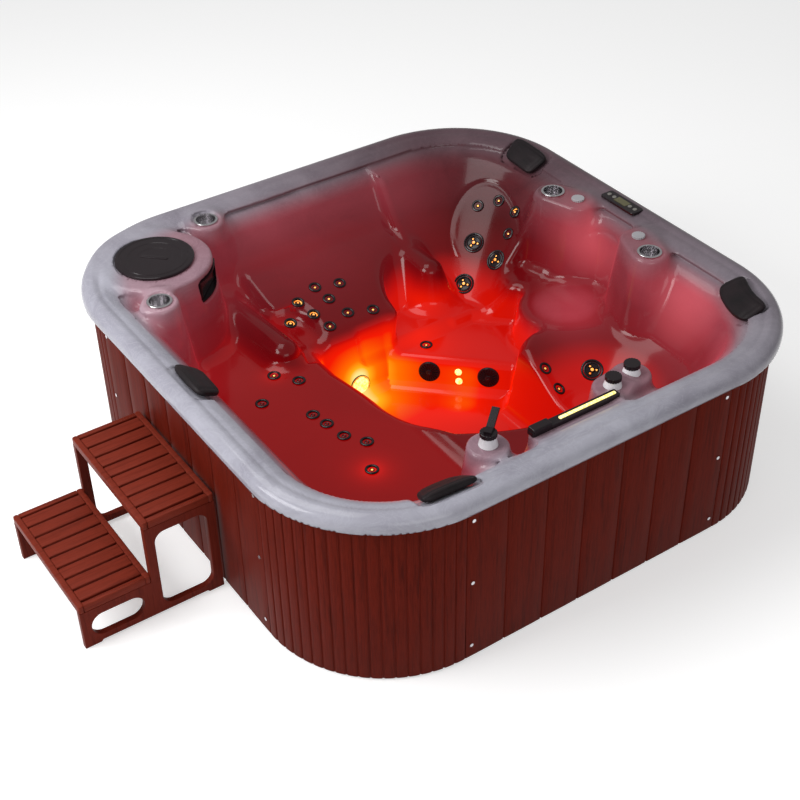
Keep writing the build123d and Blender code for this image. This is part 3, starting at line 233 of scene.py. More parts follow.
black, white = (0, 0, 0), (1, 1, 1)
# pale, dark and vein are the acrylic's own marbling; mauve, rose, red and deep are painted shade and painted
# red light; glow and blush ramp the painted light
acrylicLook = {
    "pale": (0.36, 0.355, 0.41), "dark": (0.275, 0.265, 0.315), "vein": (0.46, 0.455, 0.52),
    "paintedSideShade": (0.30, 0.185, 0.19), "rose": (0.80, 0.17, 0.20), "red": (0.34, 0.012, 0.016),
    "deep": (0.13, 0.002, 0.003), "cloudScale": 2.6, "veinScale": 7, "veinShare": 0.35,
    "glow": [(0.0, black), (0.08, (0.02, 0.0, 0.0005)), (0.22, (0.12, 0.0, 0.0008)),
             (0.42, (0.50, 0.003, 0.001)), (0.62, (0.88, 0.010, 0.0)), (0.78, (1.0, 0.16, 0.0)),
             (0.9, (1.0, 0.45, 0.01)), (1.0, (1.0, 0.85, 0.30))],
    "paintedPinkLight": [(0.0, black), (0.5, (0.16, 0.022, 0.03)), (1.0, (0.50, 0.075, 0.095))],
}


def pearlAcrylic():
    look = acrylicLook
    material, body = shade("pearlAcrylic", 0.16, coat=0.15, coatRoughness=0.04, specular=0.2)
    field = {name: addNode(material, "ShaderNodeAttribute", attribute_name=name).outputs["Fac"]
             for name in ("side", "paintedRedLightAndShade", "glow", "paintedPinkLight")}
    flow = stretched(material, (1, 1, 1.6), (0, 0, 0.9))
    clouds = noise(material, flow, look["cloudScale"], 6, 0.6, 1.4)
    base = ramp(material, clouds, [(0.30, look["dark"]), (0.55, look["pale"]), (0.85, look["vein"])])
    lines = noise(material, flow, look["veinScale"], 8, 0.7, 3.2)
    veins = ramp(material, lines, [(0.47, black), (0.5, white), (0.53, black)])
    veined = blendColours(material, veins, base, look["vein"])
    base = blendColours(material, look["veinShare"], base, veined)
    # painted shade: the right and far sides darkened towards mauve
    shaded = blendColours(material, 1.0, base, look["paintedSideShade"], "MULTIPLY")
    base = blendColours(material, field["side"], base, shaded)
    # painted red lamp light and shade: the lower the skin, the redder and darker its base colour
    paintedRedLightAndShadeRamp = [(0.0, white), (0.35, look["rose"]), (0.7, look["red"]), (1.0, look["deep"])]
    base = blendColours(material, 1.0, base, ramp(material, field["paintedRedLightAndShade"], paintedRedLightAndShadeRamp), "MULTIPLY")
    wire(material, base, body.inputs["Base Color"])
    light = ramp(material, field["glow"], look["glow"])
    # painted lamp light and painted pink light, added together as the acrylic's emission
    light = blendColours(material, 1.0, light, ramp(material, field["paintedPinkLight"], look["paintedPinkLight"]), "ADD")
    wire(material, light, body.inputs["Emission Color"])
    body.inputs["Emission Strength"].default_value = 1.0
    wornRoughness(material, body, flow, 12, 0.10, 0.22)
    return material


def wood(name, light, dark, gloss=0.55, grain="z", specular=0.05):
    material, body = shade(name, gloss, specular=specular)
    stretch = {"x": (1.5, 30, 30), "z": (30, 30, 1.5)}[grain]
    long = stretched(material, stretch)
    streaks = noise(material, long, 2.2, 7, 0.65, 0.6)
    pores = noise(material, stretched(material, tuple(6 * s for s in stretch)), 2.5, 3)
    colour = ramp(material, streaks, [(0.28, dark), (0.52, light), (0.74, tuple(0.62 * c for c in light))])
    poreShade = ramp(material, pores, [(0.4, (0.25, 0.22, 0.2)), (0.6, white)])
    colour = blendColours(material, 0.22, colour, poreShade, "MULTIPLY")
    wire(material, colour, body.inputs["Base Color"])
    addBump(material, body, streaks, 0.35, 0.0012)
    return material


def plastic(name, colour, roughness=0.25, coat=0.3, grain=260, strength=0.05, spread=0.12, specular=0.4):
    material, body = shade(name, roughness, coat=coat, specular=specular)
    local = stretched(material)
    tone = noise(material, local, 9, 4)
    low = tuple(c * (1 - spread) for c in colour)
    high = tuple(min(1, c * (1 + spread)) for c in colour)
    wire(material, ramp(material, tone, [(0.3, low), (0.7, high)]), body.inputs["Base Color"])
    wornRoughness(material, body, local, 30, 0.7 * roughness, 1.3 * roughness)
    addBump(material, body, noise(material, local, grain, 2), strength, 0.0004)
    return material


def metal(name, colour, roughness=0.25, stretch=(1, 1, 40)):
    material, body = shade(name, roughness, metallic=1.0)
    lines = noise(material, stretched(material, stretch), 40, 4)
    low = tuple(0.82 * c for c in colour)
    wire(material, ramp(material, lines, [(0.3, low), (0.7, colour)]), body.inputs["Base Color"])
    wornRoughness(material, body, stretched(material, stretch), 60, 0.6 * roughness, 1.5 * roughness)
    return material


def lamp(name, core, edge, strength):
    material, body = shade(name, 0.2, coat=0.5)
    cells = noise(material, stretched(material), 90, 2)
    colour = ramp(material, cells, [(0.35, edge), (0.6, core)])
    wire(material, colour, body.inputs["Base Color"])
    wire(material, colour, body.inputs["Emission Color"])
    body.inputs["Emission Strength"].default_value = strength
    return material


def foamSkin():
    material, body = shade("foamSkin", 0.5, sheen=0.02, specular=0.2)
    local = stretched(material)
    tone = noise(material, local, 14, 4)
    colour = ramp(material, tone, [(0.3, (0.006, 0.004, 0.005)), (0.7, (0.014, 0.008, 0.010))])
    wire(material, colour, body.inputs["Base Color"])
    pebbles = addNode(material, "ShaderNodeTexVoronoi")
    pebbles.inputs["Scale"].default_value = 320
    wire(material, local, pebbles.inputs["Vector"])
    addBump(material, body, pebbles.outputs["Distance"], 0.25, 0.0006)
    return material


def pleatedCloth():
    material, body = shade("pleatedCloth", 0.8, sheen=0.3)
    pleats = addNode(material, "ShaderNodeTexWave", wave_type="RINGS", rings_direction="Z")
    pleats.inputs["Scale"].default_value = 20
    wire(material, stretched(material), pleats.inputs["Vector"])
    # painted shade: the cloth is darker in the pleat folds and paler on their ridges
    colour = ramp(material, pleats.outputs["Fac"], [(0, (0.6, 0.6, 0.58)), (1, (0.9, 0.9, 0.88))])
    wire(material, colour, body.inputs["Base Color"])
    addBump(material, body, pleats.outputs["Fac"], 0.6, 0.003)
    return material


finishes = {
    "acrylic": pearlAcrylic(),
    "skirt_wood": wood("skirtWood", (0.125, 0.010, 0.004), (0.060, 0.005, 0.0022)),
    "step_wood": wood("stepWood", (0.20, 0.028, 0.015), (0.12, 0.016, 0.009), 0.42, "x"),
    "step_frame_wood": wood("stepFrameWood", (0.16, 0.020, 0.011), (0.085, 0.010, 0.006), 0.42, "z"),
    "frame_timber": wood("frameTimber", (0.62, 0.46, 0.28), (0.42, 0.29, 0.16), 0.6, "z", 0.3),
    "black_plastic": plastic("blackPlastic", (0.012, 0.007, 0.009), 0.22, 0.12, specular=0.3),
    "grey_plastic": plastic("greyPlastic", (0.36, 0.35, 0.37), 0.3),
    "silver_plastic": plastic("silverPlastic", (0.72, 0.70, 0.73), 0.22, 0.5),
    "pipe_plastic": plastic("pipePlastic", (0.78, 0.78, 0.75), 0.4, 0.1),
    "pan_plastic": plastic("panPlastic", (0.05, 0.05, 0.055), 0.5, 0.0, 120, 0.3),
    "box_plastic": plastic("boxPlastic", (0.42, 0.43, 0.44), 0.45, 0.0, 150, 0.2),
    "pillow_foam": foamSkin(),
    "button_rubber": plastic("buttonRubber", (0.20, 0.19, 0.17), 0.45, 0.1, 200, 0.2),
    "stainless": metal("stainless", (0.72, 0.70, 0.72), 0.22),
    "motor_paint": plastic("motorPaint", (0.09, 0.11, 0.15), 0.4, 0.2),
    "valve_brass": metal("valveBrass", (0.75, 0.56, 0.28), 0.3),
    "filter_cloth": pleatedCloth(),
    "display_glass": plastic("displayGlass", (0.085, 0.075, 0.02), 0.08, 0.9, 40, 0.0, 0.3),
    "lamp_glass": lamp("lampGlass", (1.0, 0.88, 0.38), (1.0, 0.66, 0.10), 1.15),
    "spot_glass": lamp("spotGlass", (1.0, 0.50, 0.10), (1.0, 0.22, 0.02), 1.2),
}
for part in frame["record"]["subparts"]:
    node = frame["nodes"][part["node"]]
    if len(node.material_slots) == 0:
        node.data.materials.append(finishes[part["material_slot"]])
    for entry in node.material_slots:
        entry.material = finishes[part["material_slot"]]
print("materials ready")


# Mesh tools
def makePiece(name, shapes, slot, body, replaced=(), sharp=32):  # one object from (points, faces) shapes
    vertices, faces, base = [], [], 0
    for points, polygons in shapes:
        vertices += [tuple(p) for p in points]
        faces += [tuple(base + i for i in polygon) for polygon in polygons]
        base = len(vertices)
    mesh = bpy.data.meshes.new(name)
    mesh.from_pydata(vertices, [], faces)
    mesh.validate()
    mesh.polygons.foreach_set("use_smooth", [True] * len(mesh.polygons))
    if sharp:
        mesh.set_sharp_from_angle(angle=math.radians(sharp))
    mesh.materials.append(finishes[slot])
    piece = bpy.data.objects.new(name, mesh)
    bpy.context.scene.collection.objects.link(piece)
    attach(piece, body)
    if replaced:
        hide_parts(*replaced)
    return piece


def lathe(place, profile, segments):  # turns (radius, height) points about the local Z axis
    points, faces, count = [], [], len(profile)
    for step in range(segments):
        turn = 2 * math.pi * step / segments
        for radius, height in profile:
            points.append(place @ Vector((radius * math.cos(turn), radius * math.sin(turn), height)))
    for step in range(segments):
        after = (step + 1) % segments
        for i in range(count - 1):
            j = i + 1
            quad = [step * count + i, after * count + i, after * count + j, step * count + j]
            if profile[i][0] < 1e-6:
                quad.pop(0)
            if profile[j][0] < 1e-6:
                quad.pop(-1)
            faces.append(quad)
    return points, faces


def outlineNormals(outline):
    count, normals = len(outline), []
    for i in range(count):
        (ax, ay), (bx, by) = outline[i - 1], outline[(i + 1) % count]
        length = math.hypot(bx - ax, by - ay) or 1
        normals.append(((by - ay) / length, (ax - bx) / length))
    return normals


def prism(place, outline, low, high, bevel=0.002, steps=3):
    # a solid with an outline (counter-clockwise), its long edges rounded
    normals = outlineNormals(outline)
    rings = []
    for i in range(steps + 1):
        turn = math.pi / 2 * i / steps
        rings.append((bevel * (1 - math.sin(turn)), low + bevel * (1 - math.cos(turn))))
    rings += [(inset, low + high - z) for inset, z in reversed(rings)]
    points, faces, count = [], [], len(outline)
    for inset, z in rings:
        for (x, y), (nx, ny) in zip(outline, normals):
            points.append(place @ Vector((x - inset * nx, y - inset * ny, z)))
    for ring in range(len(rings) - 1):
        for i in range(count):
            j = (i + 1) % count
            faces.append([ring * count + i, ring * count + j, (ring + 1) * count + j, (ring + 1) * count + i])
    faces.append(list(reversed(range(count))))
    faces.append([(len(rings) - 1) * count + i for i in range(count)])
    return points, faces


def roundedBox(width, depth, radius, centre=(0, 0), steps=5):
    outline = []
    for corner, (sx, sy) in enumerate(((1, 1), (-1, 1), (-1, -1), (1, -1))):
        for i in range(steps + 1):
            turn = math.pi / 2 * (corner + i / steps)
            outline.append((centre[0] + sx * (width / 2 - radius) + radius * math.cos(turn),
                            centre[1] + sy * (depth / 2 - radius) + radius * math.sin(turn)))
    return outline


origin = Matrix.Identity(4)


# The moulded shell: a distance field of the tub's forms, meshed as one skin
def roundJoin(a, b, radius):  # two forms as one, with a fillet between them
    near = np.hypot(np.maximum(radius - a, 0), np.maximum(radius - b, 0))
    return np.maximum(radius, np.minimum(a, b)) - near


def roundMeet(a, b, radius):  # what two forms share, with a rounded edge
    return -roundJoin(-a, -b, radius)


def squareDistance(x, y, halfX, halfY, radius):
    u = np.abs(x) - halfX + radius
    v = np.abs(y) - halfY + radius
    return np.hypot(np.maximum(u, 0), np.maximum(v, 0)) + np.minimum(np.maximum(u, v), 0) - radius


def rimDistance(x, y):  # from the tub's outer side, negative inside
    return squareDistance(x, y, tub["half"], tub["half"], tub["cornerRadius"])


def slotDistance(x, y, start, end):
    runX, runY = end[0] - start[0], end[1] - start[1]
    length = max(runX ** 2 + runY ** 2, 1e-9)
    share = np.clip(((x - start[0]) * runX + (y - start[1]) * runY) / length, 0, 1)
    return np.hypot(x - start[0] - share * runX, y - start[1] - share * runY)


def outlineDistance(x, y, points):  # negative inside
    nearest = np.full(np.broadcast(x, y).shape, 9.0)
    side = np.ones(nearest.shape)
    for (ax, ay), (bx, by) in zip(points, points[1:] + points[:1]):
        nearest = np.minimum(nearest, slotDistance(x, y, (ax, ay), (bx, by)))
        if ay != by:
            crossed = ((ay > y) != (by > y)) & (x < (bx - ax) * (y - ay) / (by - ay) + ax)
            side = np.where(crossed, -side, side)
    return nearest * side


def hollow(flat, floor, z, angle, floorRound, top=9.0):
    walls = (flat - (z - floor) * slopeOf(angle)) * math.cos(math.radians(angle))
    return np.maximum(roundMeet(walls, floor - z, floorRound), z - top)


def boss(flat, radius, top, z, angle, topRound):
    walls = (flat - radius - (top - z) * slopeOf(angle)) * math.cos(math.radians(angle))
    return roundMeet(walls, z - top, topRound)


wellOutline = [(-0.25, -0.52), (0.32, -0.52), (0.32, -0.13), (0.395, -0.05), (0.035, 0.31), (-0.25, 0.31)]
stepOutline = [(-0.06, 0.33), (0.483, 0.33), (0.64, 0.173), (0.64, -0.06), (0.35, -0.06), (0.26, 0.04)]
pillowPlaces, pillowTilt = {}, 31
for pillowName, baseX, baseY, heading, reach in (
        ("far", 0.575, 0.575, 5, 0.387), ("right", 0.575, -0.575, -25, 0.387),
        ("near", -0.575, -0.575, 266, 0.387), ("left", 0, -0.01, 180, 0.962)):
    tilt = math.radians(pillowTilt)
    outX, outY = math.cos(math.radians(heading)), math.sin(math.radians(heading))
    touch = reach + tub["rimRound"] * (slopeOf(pillowTilt) - math.sin(tilt))
    height = tub["top"] - tub["rimRound"] * (1 - math.cos(tilt))
    normal = (-math.sin(tilt) * outX, -math.sin(tilt) * outY, math.cos(tilt))
    centre = (baseX + touch * outX, baseY + touch * outY, height)
    pillowPlaces[pillowName] = planeAt(centre, normal, (-outY, outX, 0))


def skin(x, y, z):  # negative inside the moulded body
    outer = rimDistance(x, y)
    body = roundMeet(outer, z - tub["top"], tub["outerRound"])
    body = body - 0.0035 * np.exp(-((outer + 0.046) / 0.010) ** 2) * (z > 0.72)
    body = body + 0.0030 * np.exp(-((outer + 0.072) / 0.009) ** 2) * (z > 0.72)
    body = roundMeet(body, tub["lipLow"] - z, 0.004)
    core = squareDistance(x, y, tub["core"], tub["core"], tub["coreRadius"])
    body = np.minimum(body, np.maximum(core, z - 0.72))
    # basin down to the seats, with a soft wave in its bench side
    slope = slopeOf(tub["basinDraft"])
    reach = tub["basinTop"] - (tub["top"] - z) * slope
    corner = np.maximum(tub["basinCorner"] - (tub["top"] - z) * slope, 0.05)
    walls = squareDistance(x, y, reach, reach, corner) * math.cos(math.radians(tub["basinDraft"]))
    wave = np.exp(-((x + 0.13) / 0.10) ** 2) - 0.8 * np.exp(-((x - 0.10) / 0.09) ** 2)
    walls = walls + 0.012 * wave * np.clip((y - 0.5) / 0.2, 0, 1) * np.exp(-((z - 0.6) / 0.09) ** 2)
    body = roundMeet(body, -roundMeet(walls, tub["seat"] - z, 0.05), tub["rimRound"])
    # bench seat
    tilt = math.radians(tub["benchRise"])
    slab = (z - tub["benchLevel"] - (y - tub["wellFar"]) * math.tan(tilt)) * math.cos(tilt)
    side = np.abs(x - 0.01) - 0.36
    body = roundMeet(body, -np.maximum(np.maximum(side, -slab), np.abs(y - 0.36) - 0.06), 0.01)
    fillet = 0.005 + 0.035 * np.clip((y - 0.48) / 0.12, 0, 1)
    bench = roundMeet(roundMeet(side, slab, 0.03), 0.31 - y, 0.01)
    body = roundJoin(body, np.maximum(bench, core + 0.03), fillet)
    # hollows below the seats
    flat = squareDistance(x + 0.511, y + 0.1, 0.281, 0.692, 0.11)
    body = roundMeet(body, -hollow(flat, tub["loungerLevel"], z, 28, 0.03, 0.43), 0.03)
    bulge = 0.03 * np.cos(np.clip((y + 0.12) / 0.3, -1, 1) * math.pi / 2) * np.clip(-x / 0.25, 0, 1)
    flat = roundMeet(outlineDistance(x - bulge, y, wellOutline), -0.55 - y - x, 0.2)
    body = roundMeet(body, -hollow(flat, tub["wellFloor"], z, 8, 0.05, 0.5), 0.055)
    seatDistance = np.hypot(x - tub["captain"][0], y - tub["captain"][1])
    flat = roundMeet(outlineDistance(x, y, stepOutline), 0.215 - seatDistance, 0.03)
    body = roundMeet(body, -hollow(flat, tub["stepLevel"], z, 8, 0.03, 0.5), 0.035)
    bowlDistance = np.hypot(x - tub["bowlCentre"], y + tub["bowlCentre"])
    grow = (tub["bowlHigh"] - tub["bowlLow"]) / (tub["seat"] - tub["bowlLevel"])
    bowl = (bowlDistance - tub["bowlLow"] - (z - tub["bowlLevel"]) * grow) / math.hypot(1, grow)
    bowl = np.maximum(roundMeet(bowl, tub["bowlLevel"] - z, 0.018), z - 0.42)
    body = roundMeet(body, -bowl, 0.03)
    # far corner seat and its back
    along, radius = cornerCone(np.minimum(z, tub["coneTop"]))
    cone = (np.hypot(x - along * root, y - along * root) - radius) * 0.8
    fill = roundMeet(roundMeet(0.385 - x, 0.335 - y, 0.01), z - 0.70, 0.012)
    body = roundJoin(body, np.maximum(fill, core), 0.03)
    body = roundMeet(body, -np.maximum(roundMeet(cone, tub["coneLevel"] - z, 0.014), z - 0.71), 0.035)
    sideways = (y - x) * root
    disc = np.hypot(sideways + 0.125, (z - 0.47) * 1.12)
    body = body + 0.006 * np.exp(-((disc - 0.165) / 0.012) ** 2) * ((x + y) > 1.15)
    # round back of the captain seat, with its padded oval
    body = roundMeet(body, -hollow(seatDistance - tub["alcoveRadius"], tub["seat"], z, 8, 0.03, 0.68), 0.03)
    oval = np.hypot((y + 0.005) / 0.15, (z - 0.53) / 0.115)
    body = body + 0.005 * np.exp(-((oval - 1) / 0.09) ** 2) * (x > 0.8) * (z < 0.69)
    # pilasters, armrests, filter tower and the waterfall's ledge
    def pilaster(flat, top, topRound):
        return boss(flat, tub["pilaster"], top, z, tub["draft"], topRound)

    for px, py, top in diverterPlaces:
        body = roundJoin(body, pilaster(np.hypot(x - px, y - py), top, 0.012), 0.045)
    for px, py in cupPlaces[:2]:
        body = roundJoin(body, pilaster(np.hypot(x - px, y - py), tub["pilasterTop"], 0.014), 0.05)
    for start, end in zip(cupPlaces[2:], airKnobPlaces):
        body = roundJoin(body, pilaster(slotDistance(x, y, start, end), tub["pilasterTop"], 0.014), 0.045)
    for start, end in (((-0.42, 0.372), (-0.44, 0.776)), ((0.395, 0.52), (0.4, 0.776))):
        body = roundJoin(body, boss(slotDistance(x, y, start, end), 0.042, 0.455, z, 20, 0.035), 0.05)
    towerDistance = np.hypot(x - towerPlace[0], y - towerPlace[1])
    tower = boss(towerDistance, tub["towerRadius"], tub["towerTop"], z, tub["draft"], 0.012)
    body = roundJoin(body, tower, 0.05)
    ledge = roundMeet(roundMeet(np.abs(x + 0.01) - 0.1925, y + 0.885, 0.02), z - 0.712, 0.01)
    body = roundJoin(body, np.maximum(ledge, core), 0.04)
    body = roundMeet(body, z - 0.754, 0.004)
    # recesses and openings
    body = roundMeet(body, -np.maximum(towerDistance - tub["lidRecess"], tub["towerTop"] - z), 0.004)
    body = np.maximum(body, -np.maximum(towerDistance - tub["canister"], tub["canisterLow"] - z))
    across = (x - towerPlace[0] + y - towerPlace[1]) * root
    out = (x - towerPlace[0] - y + towerPlace[1]) * root
    mouth = squareDistance(across, z - tub["mouthLevel"], 0.097, 0.05, 0.02)
    body = roundMeet(body, -np.maximum(mouth, np.abs(out - 0.2) - 0.1), 0.008)
    for px, py in cupPlaces:
        away = np.hypot(x - px, y - py)
        body = roundMeet(body, -np.maximum(away - tub["cupFlange"], tub["pilasterTop"] - z), 0.006)
        body = roundMeet(body, -np.maximum(away - tub["cupHole"], tub["cupLow"] - z), 0.003)
    for spot in pillowPlaces.values():
        toX, toY, toZ = (spot.col[i][:3] for i in range(3))
        dx, dy, dz = (x - spot[0][3], y - spot[1][3], z - spot[2][3])
        u, v, w = (dx * a[0] + dy * a[1] + dz * a[2] for a in (toX, toY, toZ))
        rest = np.maximum(squareDistance(u, v, 0.1165, 0.063, 0.034), np.abs(w - 0.027) - 0.053)
        body = roundMeet(body, -rest, 0.01)
    return body


def skinSlope(points, step=0.0005):
    slope = np.empty_like(points)
    for axis in range(3):
        move = np.zeros(3)
        move[axis] = step
        slope[:, axis] = (skin(*(points + move).T) - skin(*(points - move).T)) / (2 * step)
    return slope


def skinNormals(points):
    slope = skinSlope(points)
    return slope / np.maximum(np.linalg.norm(slope, axis=1), 1e-6)[:, None]


def skinMesh(cell=0.0101, reach=1.112, low=0.064, high=0.764):
    # one vertex in each cell that the skin passes, one quad on each crossed edge
    count = int(2 * reach / cell) + 1
    line = np.linspace(-reach, reach, count)
    levels = np.arange(low, high, cell)
    inside = np.stack([skin(line[:, None], line[None, :], z) < 0 for z in levels], axis=2)
    corners = np.zeros([n - 1 for n in inside.shape], np.uint8)
    for i in (0, 1):
        for j in (0, 1):
            for k in (0, 1):
                corners += inside[i:count - 1 + i, j:count - 1 + j, k:len(levels) - 1 + k]
    cells = np.argwhere((corners > 0) & (corners < 8))
    index = np.full(corners.shape, -1)
    index[tuple(cells.T)] = np.arange(len(cells))
    step = line[1] - line[0]
    centres = np.stack([line[cells[:, 0]], line[cells[:, 1]], levels[cells[:, 2]]], 1) + step / 2
    points = centres.copy()
    for _ in range(3):
        slope = skinSlope(points)
        size = np.maximum((slope ** 2).sum(1), 0.2)
        points -= (np.clip(skin(*points.T), -cell, cell) / size)[:, None] * slope
        points = np.clip(points, centres - 0.75 * step, centres + 0.75 * step)
    quads = []
    for axis in range(3):
        before = np.take(inside, range(inside.shape[axis] - 1), axis)
        after = np.take(inside, range(1, inside.shape[axis]), axis)
        edges = np.argwhere(before != after)
        u, v = (axis + 1) % 3, (axis + 2) % 3
        fits = np.all([(edges[:, w] >= 1) & (edges[:, w] < corners.shape[w]) for w in (u, v)], axis=0)
        edges = edges[fits]
        ring = []
        for du, dv in ((1, 1), (0, 1), (0, 0), (1, 0)):
            shifted = edges.copy()
            shifted[:, u] -= du
            shifted[:, v] -= dv
            ring.append(index[tuple(shifted.T)])
        ring = np.stack(ring, 1)
        turned = ~before[tuple(edges.T)]
        ring[turned] = ring[turned][:, ::-1]
        quads.append(ring)
    return points, np.concatenate(quads)


def smoothStep(value, low, high):
    share = np.clip((value - low) / (high - low), 0, 1)
    return share * share * (3 - 2 * share)


def shownFaces(points, quads):
    # without the outer side that the skirt hides, the underside and the floor of the filter's shaft
    middle = points[quads].mean(1)
    x, y, z = middle.T
    outer = rimDistance(x, y)
    shaft = np.hypot(x - towerPlace[0], y - towerPlace[1]) < 0.19
    lip = (z > 0.692) & (outer > -0.012)
    normals = skinNormals(middle)
    beyond = middle + 0.002 * normals
    outward = rimDistance(beyond[:, 0], beyond[:, 1]) - outer
    hidden = (outward > 0.0006) | (normals[:, 2] < -0.4)
    under = (z < 0.7) & (outer > -0.1) & ~lip & hidden
    return quads[~(under | ((z < 0.45) & shaft))]


def skinLight(points, normals):
    # painted light and shade: how red and dark the seats are painted, how the lamps' light and a pink light are
    # painted on them, and how much painted mauve shade the far side gets
    x, y, z = points.T
    rim = smoothStep(squareDistance(x, y, 0.965, 0.965, 0.39), -0.06, 0.03)
    # painted red light and shade, growing downwards, kept off the rim and lessened on the captain's seat
    paintedRedLightAndShade = (1 - smoothStep(z, 0.34, 0.80) * 0.88) * (1 - rim)
    seat = np.hypot(x - tub["captain"][0], y - tub["captain"][1]) / 0.15
    paintedRedLightAndShade = paintedRedLightAndShade * (1 - 0.62 * np.exp(-seat ** 6) * (np.abs(z - tub["seat"]) < 0.02))
    # painted shade, stronger towards the right and the back
    side = np.clip(0.30 + 0.55 * x + 0.35 * y, 0, 1)
    paintedPinkLight = np.zeros(len(x))
    for centre, strength, reach in paintedPinkLightFields:
        paintedPinkLight += strength * np.exp(-((points - np.array(centre)) ** 2).sum(1) / reach ** 2)
    paintedPinkLight = paintedPinkLight * (1 - rim)
    # painted light: a red glow filling the well, then each lamp's light painted by distance and facing
    inWell = 1 - smoothStep(z, 0.30, 0.42)
    glow = 0.17 * (1 - smoothStep(z, 0.36, 0.66)) + 0.24 * inWell
    for centre, strength, reach in lampFields:
        to = np.array(centre) - points
        distance = np.linalg.norm(to, axis=1)
        facing = np.clip((to * normals).sum(1) / np.maximum(distance, 1e-4) * 0.7 + 0.3, 0, 1)
        glow += strength * facing * np.exp(-distance / reach)
    glow = np.where(z < 0.70, glow, 0) * (1 - rim)
    return {"paintedRedLightAndShade": paintedRedLightAndShade, "glow": np.clip(glow, 0, 1), "side": side, "paintedPinkLight": np.clip(paintedPinkLight, 0, 1)}


def makeShell():
    points, quads = skinMesh()
    quads = shownFaces(points, quads)
    used = np.unique(quads)
    order = np.zeros(len(points), int)
    order[used] = np.arange(len(used))
    points, quads = points[used], order[quads]
    normals = skinNormals(points)
    mesh = bpy.data.meshes.new("tubShell")
    mesh.vertices.add(len(points))
    mesh.vertices.foreach_set("co", points.ravel())
    mesh.loops.add(quads.size)
    mesh.loops.foreach_set("vertex_index", quads.ravel().astype(np.int32))
    mesh.polygons.add(len(quads))
    mesh.polygons.foreach_set("loop_start", np.arange(0, quads.size, 4, dtype=np.int32))
    mesh.polygons.foreach_set("use_smooth", np.ones(len(quads), bool))
    mesh.update(calc_edges=True)
    mesh.validate()
    mesh.normals_split_custom_set_from_vertices(normals.tolist())
    for label, values in skinLight(points, normals).items():
        layer = mesh.attributes.new(label, "FLOAT", "POINT")
        layer.data.foreach_set("value", values.astype(np.float32))
    mesh.materials.append(finishes["acrylic"])
    shell = bpy.data.objects.new("tubShell", mesh)
    bpy.context.scene.collection.objects.link(shell)
    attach(shell, "tub")
    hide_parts("acrylic_shell")
    print("shell", len(quads), "faces")


makeShell()


# Wooden skirt: grooved boards with softened edges, four flat panels and four corners
skirt = {"half": 1.068, "thickness": 0.014, "radius": 0.488, "low": 0.008, "high": 0.714, "edge": 0.0015,
         "groove": 0.005, "depth": 0.003, "slats": 18, "boards": 7, "joint": 0.001}


def groovedOutline(length, count, spot):
    # spot(along, height) gives the plan point of a place on the panel's face
    pitch, half, deep = length / count, skirt["groove"] / 2, skirt["depth"]
    face = []
    for k in range(count):
        start = k * pitch + (half if k else 0)
        end = (k + 1) * pitch - (half if k < count - 1 else 0)
        face += [(start, -deep), (start + 0.0006, -0.0013), (start + 0.0022, -0.0002)]
        face += [(start + (end - start) * share, 0.0002) for share in (0.3, 0.5, 0.7)]
        face += [(end - 0.0022, -0.0002), (end - 0.0006, -0.0013), (end, -deep)]
    back = [(length * (1 - i / 24), -skirt["thickness"]) for i in range(25)]
    return [spot(*point) for point in face + back]


def makeSkirt():
    centre = skirt["half"] - skirt["radius"]

    def flat(along, height):
        return along - centre + skirt["joint"], -(skirt["half"] + height)

    def corner(along, height):
        turn = math.pi + along / skirt["radius"]
        reach = skirt["radius"] + height
        return -centre + reach * math.cos(turn), -centre + reach * math.sin(turn)

    flatLine = groovedOutline(2 * (centre - skirt["joint"]), skirt["boards"], flat)
    cornerLine = groovedOutline(skirt["radius"] * math.pi / 2, skirt["slats"], corner)
    sides = (("front", "near"), ("right", "right"), ("back", "far"), ("left", "filter"))
    for index, (side, bend) in enumerate(sides):
        turn = Matrix.Rotation(math.pi / 2 * index, 4, "Z")
        for name, node, line in ((side.title() + "Panel", side, flatLine),
                                 (bend.title() + "Corner", "corner_" + bend, cornerLine)):
            board = prism(turn, line, skirt["low"], skirt["high"], skirt["edge"], 2)
            makePiece("skirt" + name, [board], "skirt_wood", "tub", ["skirt_" + node], sharp=50)


makeSkirt()

# Steps: slats, tread frames and side frames with softened edges
steps = {"back": -1.079, "tread": 0.275, "tops": (0.2, 0.443), "centreY": 0.026, "width": 0.576,
         "frame": 0.032, "border": 0.022, "slats": 8, "gap": 0.010, "slatThick": 0.016, "side": 0.024,
         "bar": 0.036, "windowRound": 0.042, "footLength": 0.06, "footHeight": 0.008, "ledge": 0.008}


